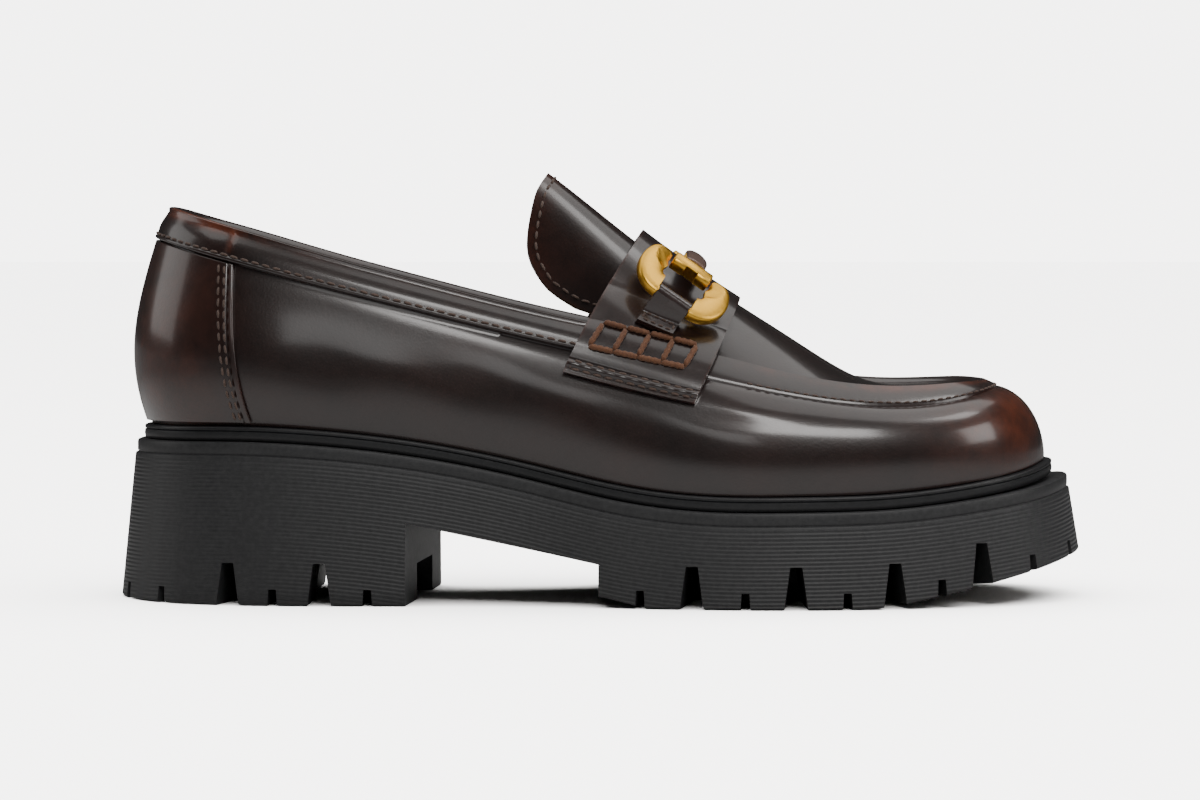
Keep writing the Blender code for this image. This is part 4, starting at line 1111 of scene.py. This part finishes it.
trim = dict(span=29 * mm, drop=13.2 * mm, side=16.8 * mm, lobeDrop=11.7 * mm, lobeWide=3.75 * mm,
            lobeThick=1.9 * mm, tip=0.30, facetSink=0.10, facetSlope=0.60, bar=1.0 * mm,
            barrelLength=12.4 * mm, barrel=2.45 * mm, notch=3.9 * mm, notchFrom=0.50,
            linkWide=7.0 * mm, linkThick=3.1 * mm, linkRise=3.9 * mm)
keeper = dict(width=10.6 * mm, thickness=1.0 * mm, tail=7.8 * mm, box=(0.9 * mm, 3.2 * mm), margin=0.9 * mm)
tabThread = dict(thread, length=1.7 * mm, gap=0.45 * mm, radius=0.27 * mm)


@functools.lru_cache(maxsize=None)
def strapProfile(inner):
    girths = np.linspace(4.0, 2.0, 81)
    rows = [strapRow([0.3, 0.5, 0.7], g, inner, 1) for g in girths]
    points = np.array([p[1] for p, _ in rows])
    return girths, points, np.array([n[1] for _, n in rows]), np.array([p[2] - p[0] for p, _ in rows])


def girthAt(side, inner):
    girths, points, _, _ = strapProfile(inner)
    return float(np.interp(side, np.abs(points[:, 1] - points[0, 1]), girths))


@functools.lru_cache(maxsize=None)
def ringFrame(inner):
    lowSide = trim["side"] + trim["drop"] * 0.8
    high, normal = strapPoint(0.5, girthAt(trim["side"], inner), inner, 1)
    low = strapPoint(0.5, girthAt(lowSide, inner), inner, 1)[0]
    along = unit(strapPoint(0.85, 4.0, inner, 1)[0] - strapPoint(0.15, 4.0, inner, 1)[0])
    down = low - high
    down = unit(down - along * (down @ along))
    off = np.cross(down, along)
    if off @ normal < 0:
        off = -off
    loopDepth = trim["bar"] + seamGap + keeper["thickness"]
    # Lift the ring until lobes, barrel and keeper all clear the strap
    height = 0.0
    for side in np.linspace(trim["side"] - 3 * mm, lowSide + 4 * mm, 14):
        for u in (0.1, 0.3, 0.5, 0.7, 0.9):
            place = strapPoint(u, girthAt(side, inner), inner, 1)[0] - high
            reach, across, swell = place @ down, place @ along, place @ off
            need = trim["lobeThick"]
            if abs(reach) < trim["barrel"] and abs(across) < trim["barrelLength"] / 2 + 1 * mm:
                need = trim["barrel"]
            if abs(reach - trim["drop"]) < loopDepth and abs(across) < keeper["width"] / 2 + 1 * mm:
                need = loopDepth
            height = max(height, swell + need)
    return high + off * (height + seamGap), along, down, off


def makeRing(name, inner, replaced):
    centre, along, down, off = ringFrame(inner)
    middle = trim["lobeDrop"] / 2
    reach = trim["span"] / 2 - trim["lobeWide"]
    top = trim["barrelLength"] / 2 + seamGap + 0.5 * mm
    bottom = keeper["width"] / 2 + seamGap
    rows = []
    # Across, down, swell and share of each section of one lobe, from the barrel to the bar
    for share in np.linspace(0, 1, 84):
        angle = share * math.pi
        inset = top + (bottom - top) * share
        swell = trim["tip"] + (1 - trim["tip"]) * math.sin(min(angle / 0.62, math.pi / 2)) ** 0.8
        bow = (reach - inset) * math.sin(angle)
        rows.append((inset + bow, middle - middle * math.cos(angle), swell, share))
    # Each lobe ends in a flat face, and the thin bar runs from one face to the other
    rows.append((bottom - 0.01 * mm, trim["lobeDrop"], 0.95, 1))
    rows.append((bottom - 0.02 * mm, trim["drop"], -1, 1))
    rows = rows + [(-a, d, w, share) for a, d, w, share in rows[::-1]]
    sides = 40
    sections = []
    for i, (a, d, swell, share) in enumerate(rows):
        before, after = rows[max(i - 1, 0)], rows[min(i + 1, len(rows) - 1)]
        run = np.array([after[0] - before[0], after[1] - before[1]])
        if share == 1:
            run = np.array([-1.0, 0.0])
        run = run / np.linalg.norm(run)
        out = along * run[1] - down * run[0]
        place = centre + along * a + down * d
        wide, thick = trim["lobeWide"] * swell, trim["lobeThick"] * swell ** 2 if swell > 0 else 0
        if swell < 0:   # the bar
            wide = thick = trim["bar"]
        loop = []
        for t in np.arange(sides) * 2 * math.pi / sides:
            x, y = math.cos(t), math.sin(t)
            # Broad flat facet with a rounded rim
            x, y = math.copysign(abs(x) ** 0.75, x), math.copysign(abs(y) ** 0.36, y)
            if swell > 0 and y > 0:
                # A sunken facet takes over the inner side on the half nearer the barrel
                crease = min(0.45, -1 + 1.5 * min(max((0.56 - share) / 0.30, 0), 1) ** 0.8)
                slope = trim["facetSlope"] * max(crease - x, 0) / (crease + 1.001)
                y = min(y, 1 - trim["facetSink"] * (x < crease) - slope)
            loop.append(place + out * wide * x + off * thick * y)
        sections.append(loop)
    return sweep(name, sections, finish["gold"], "trim_metal", replaces=(replaced,), angle=38)


def squared(value):
    # Rounds a square a little less than a circle
    return math.copysign(abs(value) ** 0.72, value)


def makeBarrel(name, inner, replaced):
    centre, along, down, off = ringFrame(inner)
    sides = 48
    profile = [(-0.5, 0.72), (-0.495, 0.86), (-0.48, 0.96), (-0.455, 1.0), (0.455, 1.0), (0.48, 0.96),
               (0.495, 0.86), (0.5, 0.72)]
    sections = []
    for end, size in profile:
        sections.append([centre + along * trim["barrelLength"] * end
                         + trim["barrel"] * size * (down * squared(math.cos(t)) + off * squared(math.sin(t)))
                         for t in (np.arange(sides) + 0.5) * 2 * math.pi / sides])
    barrel = sweep(name, sections, finish["gold"], "trim_metal", replaces=(replaced,), angle=45)
    box = []
    near = trim["notchFrom"]
    for end in (-0.5, 0.5):
        low = centre + along * trim["notch"] * end
        box.append([low + down * trim["barrel"] * a + off * trim["barrel"] * b
                    for a, b in ((near, -1.4), (1.4, -1.4), (1.4, 1.4), (near, 1.4))])
    cut(barrel, [prismCutter(box)])
    bevel(barrel, 0.12 * mm, 2, 60)


def makeLink():
    ridge, normal = strapPoint(0.5, 4.0, False, 1)
    top = ridge + normal * (trim["linkRise"] - trim["linkThick"] / 2)
    knees = []
    for inner in (False, True):
        centre, along, down, off = ringFrame(inner)
        end = centre - down * (trim["barrel"] + seamGap + 0.6 * mm)
        knees.append((end, end * 0.55 + top * 0.45 + normal * 0.5 * mm))
    curve = splineThrough(np.linspace(0, 1, 5), np.array([*knees[0], top, *knees[1][::-1]]), False)
    sections = []
    for share in np.linspace(0, 1, 40):
        run = unit(curve(min(share + 0.02, 1)) - curve(max(share - 0.02, 0)))
        face = unit(np.cross(along, run))
        swell = 0.6 + 0.4 * math.sin(math.pi * share)
        sections.append([curve(share) + along * trim["linkWide"] / 2 * math.cos(t) * (0.8 + 0.2 * swell)
                         + face * trim["linkThick"] / 2 * math.sin(t) * swell
                         for t in np.arange(28) * 2 * math.pi / 28])
    # Its taupe colour is painted shade on a metal link
    link = sweep("centre_link_bar", sections, finish["cap"], "trim_metal", replaces=("centre_link",),
                 angle=60)
    bevel(link, 0.4 * mm, 3, 60)


def strapField(inner, bar, along, down, off):
    # The strap's outer face under the keeper as a cubic height over the ring's own plane
    spots = []   # each is a place down, along and off the ring's plane
    for girth in np.linspace(4.0, 1.3, 46):
        points = (strapRow(np.linspace(0.08, 0.92, 15), girth, inner, 1)[0] - bar)
        spots.append(np.stack([points @ down, points @ along, points @ off], axis=1))
    spots = np.vstack(spots) / mm
    near = (np.abs(spots[:, 1]) < 8) & (spots[:, 0] > -5) & (spots[:, 0] < 13)

    def terms(reach, across):
        return np.stack([reach ** i * across ** j for i in range(4) for j in range(3)], axis=-1)

    weights = np.linalg.lstsq(terms(spots[near, 0], spots[near, 1]), spots[near, 2], rcond=None)[0]
    return lambda reach, across: terms(reach / mm, across / mm) @ weights * mm


def makeKeeper(name, inner, replaced):
    centre, along, down, off = ringFrame(inner)
    bar = centre + down * trim["drop"]
    field = strapField(inner, bar, along, down, off)
    loop = trim["bar"] + seamGap + keeper["thickness"] / 2 + 0.05 * mm
    lift = seamGap + keeper["thickness"] / 2 + 0.1 * mm
    across = np.linspace(-1, 1, 13) * keeper["width"] / 2
    reaches = np.linspace(keeper["tail"], loop * 0.75, 14)
    upperLift = lift + keeper["thickness"] + 0.15 * mm
    # Centre line of the leather: lower leaf, turn round the bar, upper leaf, as (reach, height across)
    path = [(reach, field(reach, across) + lift) for reach in reaches]
    for angle in np.radians(list(range(-60, -181, -12)) + list(range(168, 47, -12))):
        path.append((loop * math.cos(angle), np.full(len(across), loop * math.sin(angle))))
    for reach in reaches[::-1]:
        joined = min(max((reach - loop * 0.75) / (3.0 * mm), 0), 1)
        high = field(reach, across) + upperLift
        path.append((reach, high + (loop * math.sin(math.radians(48)) - high) * (1 - joined) ** 2))
    middles = np.array([[reach, rise[len(across) // 2]] for reach, rise in path])
    runs = unit(np.gradient(middles, axis=0))
    sections = []
    for (reach, rise), run in zip(path, runs):
        centres = [bar + down * reach + along * a + off * h for a, h in zip(across, rise)]
        face = (off * run[0] - down * run[1]) * keeper["thickness"] / 2
        sections.append([p - face for p in centres] + [p + face for p in centres[::-1]])
    obj = sweep(name, sections, finish["leather"], "upper_leather", replaces=(replaced,),
                masks=np.full(len(sections) * 26, 0.06))
    bevel(obj, 0.25 * mm, 2)
    # Box of stitches on the sewn tab
    sewn = [keeper["tail"] - inset for inset in keeper["box"]]
    half = keeper["width"] / 2 - keeper["margin"]
    corners = [(sewn[0], -half), (sewn[0], half), (sewn[1], half), (sewn[1], -half), (sewn[0], -half)]
    rows = []
    for start, end in zip(corners, corners[1:]):
        points = []
        for t in np.linspace(0, 1, 12):
            r, a = start[0] + (end[0] - start[0]) * t, start[1] + (end[1] - start[1]) * t
            height = field(r, np.array([a]))[0] + upperLift + keeper["thickness"] / 2
            points.append(bar + down * r + along * a + off * height)
        rows.append((points, [off] * len(points)))
    addStitches(name + "_stitches", rows, tabThread)


for inner, side in ((False, "outer"), (True, "inner")):
    makeRing(f"ring_{side}_gold", inner, f"ring_{side}")
for inner, side in ((False, "outer"), (True, "inner")):
    makeBarrel(f"barrel_{side}_gold", inner, f"barrel_{side}")
makeLink()
for inner, side in ((False, "outer"), (True, "inner")):
    makeKeeper(f"keeper_{side}_loop", inner, f"keeper_{side}")
print("metal trim made")


# Plug seam: fine stitches under the plug's ridge, from strap to strap round the toe

plugSeam = dict(start=0.66, girth=1.16, thread=dict(thread, length=1.9 * mm, gap=0.8 * mm, radius=0.26 * mm))


def makePlugStitches():
    start = float(placeToS(plugSeam["start"], 1.2, False))
    s = np.linspace(start, 1 - start, 900)
    girth = np.full(s.shape, plugSeam["girth"])
    addStitches("plug_stitches", [(skin(s, girth), skinNormal(s, girth))], plugSeam["thread"])


makePlugStitches()
print("plug stitches made")


# Sole

sole = dict(columns=336, midsole=4.0 * mm, midsoleEdge=1.8 * mm, ledge=4.3 * mm, band=3.9 * mm, step=0.6 * mm,
            flareEnds=9.0 * mm, flareSides=6.4 * mm, toeOut=2.4 * mm, archBack=22.6 * mm, archFront=12.2 * mm,
            breast=-51.0 * mm, breastAngle=6.3, forefootBack=-0.5 * mm, backLift=3.2 * mm, backRun=13 * mm,
            toeLift=13.4 * mm, liftStart=0.80, liftRun=0.238, liftPower=1.2,
            channel=8.0 * mm, channelMargin=25 * mm, heelChannel=15 * mm, lugLength=8.5 * mm, lugHalf=11 * mm)
bigGroove = dict(depth=12.0 * mm, mouth=7.6 * mm, roof=3.4 * mm, reach=25 * mm,
                 places=(0.092, 0.195, 0.599, 0.714, 0.824, 0.922))
smallGroove = dict(depth=4.6 * mm, mouth=3.2 * mm, roof=2.2 * mm, reach=8 * mm,
                   places=(-0.024, 0.015, 0.143, 0.248, 0.543, 0.658, 0.771, 0.876, 0.979, 1.0215))
heelRecess = dict(start=0.075, aside=0.03, corner=8 * mm, narrow=0.6, extra=2.4 * mm, short=5 * mm)
middleLugs = (0.625, 0.690, 0.755, 0.815, 0.870)
soleParams = np.arange(sole["columns"]) / sole["columns"]


def floorHeight(x):
    x = np.asarray(x, float)
    run = np.maximum((x - last["start"]) / last["length"] - sole["liftStart"], 0) / sole["liftRun"]
    back = np.clip(1 - np.abs(x - sole["forefootBack"]) / sole["backRun"], 0, 1)
    return sole["toeLift"] * run ** sole["liftPower"] + sole["backLift"] * back


def soleRing(edge, level):
    normal = planNormal(featherPlan, soleParams)
    plan = featherPlan(soleParams) + normal * np.reshape(edge, (-1, 1))
    return np.column_stack([plan, np.broadcast_to(level, sole["columns"])])


def plate(name, rings, material, slot, **rest):
    rings = np.asarray(rings)
    levels, count = rings.shape[:2]
    faces = gridFaces(levels, count, wrap=True)
    top = (levels - 1) * count
    for j in range(count // 2):
        corners = [j, (j + 1) % count, (count - j - 1) % count, (count - j) % count]
        strip = list(dict.fromkeys(corners))
        if len(strip) > 2:
            faces.append(tuple(strip[::-1]))
            faces.append(tuple(top + c for c in strip))
    return makePiece(name, rings.reshape(-1, 3), faces, material, slot, **rest)


def placeToSole(place, inner):
    s = np.linspace(0.0, 0.5, 400)
    normal = planNormal(featherPlan, s)
    along = (featherPlan(s)[:, 0] + normal[:, 0] * sole["flareEnds"] - last["start"]) / last["length"]
    found = float(np.interp(place, along, s))
    return 1 - found if inner else found


def grooveCutter(place, inner, groove):
    s = placeToSole(place, inner)
    normal = planNormal(featherPlan, s)
    edge = featherPlan(s) + normal * sole["flareEnds"]
    run = np.array([-normal[1], normal[0]])
    base = float(floorHeight(edge[0]))
    sections = []
    for out in (4 * mm, -groove["reach"] - sole["flareEnds"]):
        low = edge + normal * out
        ground = min(base, float(floorHeight(low[0]))) - 3 * mm
        sections.append([np.append(low + run * half, level) for half, level in (
            (-groove["mouth"] / 2, ground), (groove["mouth"] / 2, ground),
            (groove["roof"] / 2, base + groove["depth"]), (-groove["roof"] / 2, base + groove["depth"]))])
    return prismCutter(sections)


def makeOutsole():
    feather = featherLevel(soleParams)[:, 0]
    top = feather - seamGap * 2 - sole["midsole"]
    ledge = np.full(sole["columns"], sole["ledge"])
    ends = planNormal(featherPlan, soleParams)[:, 0]
    lengthwise = ends ** 2
    toeward = np.maximum(ends, 0) ** 2
    ledge = ledge + sole["toeOut"] * toeward
    wall = ledge + sole["step"]
    floorEdge = sole["flareSides"] + (sole["flareEnds"] - sole["flareSides"]) * lengthwise
    floorEdge = floorEdge + sole["toeOut"] * toeward / 2
    ground = floorHeight(soleRing(floorEdge, 0)[:, 0])
    wallTop = top - sole["band"] - 0.45 * mm
    # The floor's edge is slightly rounded, and the wall leans in above it to the band
    rings = [soleRing(floorEdge - 0.9 * mm, ground), soleRing(floorEdge - 0.3 * mm, ground + 0.12 * mm),
             soleRing(floorEdge, ground + 0.6 * mm)]
    for share in np.linspace(0, 1, 10)[1:]:
        rings.append(soleRing(floorEdge + (wall - floorEdge) * share, ground + 0.6 * mm
                              + (wallTop - ground - 0.6 * mm) * share))
    rings.append(soleRing(wall - 0.15 * mm, top - sole["band"] - 0.12 * mm))
    # The band's edge: out from the ledge, up from its foot; then the same down from its top
    for out, up in ((0.1, 0.0), (-0.25, 0.25), (0.0, 0.8)):
        rings.append(soleRing(ledge + out * mm, top - sole["band"] + up * mm))
    for out, under in ((0.0, 0.8), (-0.25, 0.22), (-0.8, 0.0)):
        rings.append(soleRing(ledge + out * mm, top - under * mm))
    depth = (top[None, :] - np.array([ring[:, 2] for ring in rings])) / mm
    uvs = np.stack([np.broadcast_to(soleParams, depth.shape), depth], axis=-1).reshape(-1, 2)
    body = plate("lug_outsole", rings, finish["rubber"], "sole_rubber", replaces=("outsole",), uvs=uvs,
                 angle=35)
    cutters = []
    wide, below = last["ball"], -10 * mm
    turn = math.tan(math.radians(sole["breastAngle"]))
    slope = (sole["archFront"] - sole["archBack"]) / (sole["forefootBack"] - sole["breast"])
    sections = []
    for y in (-wide, wide):
        back, front = sole["breast"] + turn * y, sole["forefootBack"]
        sections.append([(back, y, below), (front, y, below), (front, y, sole["archFront"]),
                         (back, y, sole["archFront"] + slope * (back - front))])
    cutters.append(prismCutter(sections))
    recess = heelRecess
    middle, half = -recess["aside"] * wide, sole["heelChannel"]
    back, front = last["start"] + recess["start"] * last["length"], sole["forefootBack"] - recess["short"]
    outline = [(back, half * recess["narrow"]), (back + recess["corner"], half), (front, half)]
    loop = [(x, middle - y) for x, y in outline] + [(x, middle + y) for x, y in outline[::-1]]
    roof = sole["channel"] + recess["extra"]
    cutters.append(prismCutter([[(x, y, level) for x, y in loop] for level in (below, roof)]))
    shares = np.linspace(placeToSole(0.585, False), placeToSole(0.90, False), 17)
    inset = [featherPlan(s) - planNormal(featherPlan, s) * sole["channelMargin"] for s in shares]
    inset += [featherPlan(1 - s) - planNormal(featherPlan, 1 - s) * sole["channelMargin"]
              for s in shares[::-1]]
    count = len(inset)
    points = [(x, y, below) for x, y in inset]
    points += [(x, y, float(floorHeight(x)) + sole["channel"]) for x, y in inset]
    faces = gridFaces(2, count, wrap=True)
    for j in range(count // 2 - 1):
        strip = (j, j + 1, count - 2 - j, count - 1 - j)
        faces += [strip[::-1], tuple(count + c for c in strip)]
    cutters.append(rawMesh(points, faces))
    for groove in (bigGroove, smallGroove):
        cutters += [grooveCutter(place, inner, groove)
                    for place in groove["places"] for inner in (False, True)]
    cut(body, cutters)
    lugs = []
    for place in middleLugs:
        x = last["start"] + place * last["length"]
        y = 0.5 * (featherPlan(placeToSole(place, False))[1] + featherPlan(placeToSole(place, True))[1])
        long, wide = sole["lugLength"] / 2, sole["lugHalf"]
        loop = [(x - long, y - wide * 0.6), (x, y - wide), (x + long, y - wide * 0.6),
                (x + long, y + wide * 0.6), (x, y + wide), (x - long, y + wide * 0.6)]
        lugs.append(prismCutter([[(a, b, float(floorHeight(a)) + lift) for a, b in loop]
                                 for lift in (0.1 * mm, sole["channel"] + 1.5 * mm)]))
    cut(body, lugs, "UNION")
    body.data.shade_smooth()
    body.data.set_sharp_from_angle(angle=math.radians(35))


def makeMidsole():
    feather = featherLevel(soleParams)[:, 0]
    top = feather - seamGap
    bottom = top - sole["midsole"]
    # Out in mm and up as a share of the height, with a shallow groove round the middle
    rows = ((0.0, 0.0), (0.25, 0.1), (0.45, 0.35), (0.30, 0.62), (-0.1, 0.68), (0.3, 0.74), (0.35, 0.86),
            (0.15, 0.95), (-0.5, 1.0), (-3.0, 1.0))
    rings = [soleRing(sole["midsoleEdge"] + out * mm, bottom + (top - bottom) * up) for out, up in rows]
    plate("midsole_plate", rings, finish["smoothRubber"], "sole_rubber", replaces=("midsole",), angle=50)


def makeInsole():
    feather = featherLevel(soleParams)[:, 0]
    rows = ((-3.2, 0.0), (-3.2, 2.0), (-3.5, 2.7), (-4.5, 3.0))   # out and up in mm
    rings = [soleRing(out * mm, feather + up * mm) for out, up in rows]
    footbed = plate("padded_footbed", rings, finish["lining"], "lining_leather", replaces=("insole",),
                    angle=50)


makeOutsole()
print("outsole made")
makeMidsole()
makeInsole()
print("midsole and footbed made")


# Stage, light and camera

# The camera sees the floor and the room brighter than the leather mirrors them
stage = dict(pale=(1.0, 0.985, 0.972), floor=0.86, floorDim=0.095, floorFar=0.02, near=0.22, far=0.60,
             half=6.0, under=0.0002, sun=19, sunAngle=100, roomSeen=5.6, room=0.035)
# name, place, aimed at, width, height, power, colour
lights = (
    ("overhead", (0.0, 0.20, 1.60), (0.0, 0.0, 0.05), 2.4, 1.7, 17.5, (1.0, 0.98, 0.96)),
    ("frontLeft", (-0.12, -1.12, 0.50), (-0.06, 0.0, 0.07), 0.20, 0.24, 0.32, (1.0, 0.99, 0.98)),
    ("frontRight", (0.27, -0.96, 0.82), (0.06, 0.0, 0.06), 0.56, 0.26, 4.8, (1.0, 0.98, 0.96)),
    ("trimGlow", (0.72, -0.13, 1.08), (0.03, 0.0, 0.10), 0.30, 0.24, 1.1, (1.0, 0.98, 0.96)),
    ("toeSide", (1.15, -0.45, 0.55), (0.10, 0.0, 0.05), 0.5, 0.5, 3.0, (1.0, 0.98, 0.96)),
    ("heelSide", (-1.15, 0.15, 0.55), (-0.10, 0.0, 0.07), 0.7, 0.8, 2.2, (1.0, 0.98, 0.96)),
)


def cameraOnly(tree, dim, pale):
    # One colour for the camera's own rays and another for everything that mirrors or bounces
    path = addNode(tree, "ShaderNodeLightPath")
    return mixColor(tree, path.outputs["Is Camera Ray"], dim, pale)


def toned(share):
    return colorOf(tuple(share * c for c in stage["pale"]))


def makeStage():
    mesh = bpy.data.meshes.new("floor")
    half = stage["half"]
    corners = ((-half, -half), (half, -half), (half, half), (-half, half))
    mesh.from_pydata([(x, y, -stage["under"]) for x, y in corners], [], [(0, 1, 2, 3)])
    floor = addObject("floor", mesh)
    material = bpy.data.materials.new("paleFloor")
    material.use_nodes = True
    shader = material.node_tree.nodes["Principled BSDF"]
    shader.inputs["Roughness"].default_value = 0.95
    shader.inputs["Specular IOR Level"].default_value = 0.1
    tree = material.node_tree
    # For mirrored and bounced rays the floor is painted darker, and darker still away from the shoe: painted
    # shade standing in for light falling off across the floor
    place = tree.nodes.new("ShaderNodeTexCoord").outputs["Object"]
    away = addNode(tree, "ShaderNodeVectorMath", {}, {0: place}, operation="LENGTH").outputs["Value"]
    fade = remap(tree, away, stage["near"], stage["far"])
    dim = mixColor(tree, fade, toned(stage["floorDim"]), toned(stage["floorFar"]))
    tree.links.new(cameraOnly(tree, dim, toned(stage["floor"])), shader.inputs["Base Color"])
    mesh.materials.append(material)
    world = bpy.data.worlds.new("paleRoom")
    world.use_nodes = True
    background = world.node_tree.nodes["Background"]
    tree = world.node_tree
    dim = toned(stage["room"] / stage["roomSeen"])
    tree.links.new(cameraOnly(tree, dim, toned(1)), background.inputs[0])
    background.inputs[1].default_value = stage["roomSeen"]
    bpy.context.scene.world = world
    # A soft sun that lights only the floor, so the shoe's shadow on it is real
    sun = bpy.data.lights.new("floorSun", "SUN")
    sun.energy = stage["sun"]
    sun.angle = math.radians(stage["sunAngle"])
    obj = addObject("floorSun", sun)
    floorOnly = bpy.data.collections.new("floorOnly")
    floorOnly.objects.link(floor)
    obj.light_linking.receiver_collection = floorOnly
    for name, place, aim, width, height, power, color in lights:
        light = bpy.data.lights.new(name, "AREA")
        light.shape = "RECTANGLE"
        light.size, light.size_y = width, height
        light.energy = power
        light.color = color
        obj = addObject(name, light)
        obj.location = place
        obj.rotation_euler = (Vector(aim) - Vector(place)).to_track_quat("-Z", "Y").to_euler()
        if name == "frontRight":   # a flag keeps this one off the tongue
            flagged = bpy.data.collections.new("flagged")
            for piece in bpy.context.scene.objects:
                if piece.type == "MESH" and piece.name != "tongue_sheet":
                    flagged.objects.link(piece)
            obj.light_linking.receiver_collection = flagged


view = dict(distance=1.300, height=0.1183, pitch=2.71, lens=133.3)


def makeCamera():
    camera = addObject("camera", bpy.data.cameras.new("camera"))
    camera.data.lens = view["lens"]
    camera.data.sensor_width = 36
    camera.location = (shoeShift[0], -view["distance"] + shoeShift[1], view["height"])
    camera.rotation_euler = (math.radians(90 - view["pitch"]), 0, 0)
    bpy.context.scene.camera = camera


makeStage()
makeCamera()
print("stage ready")
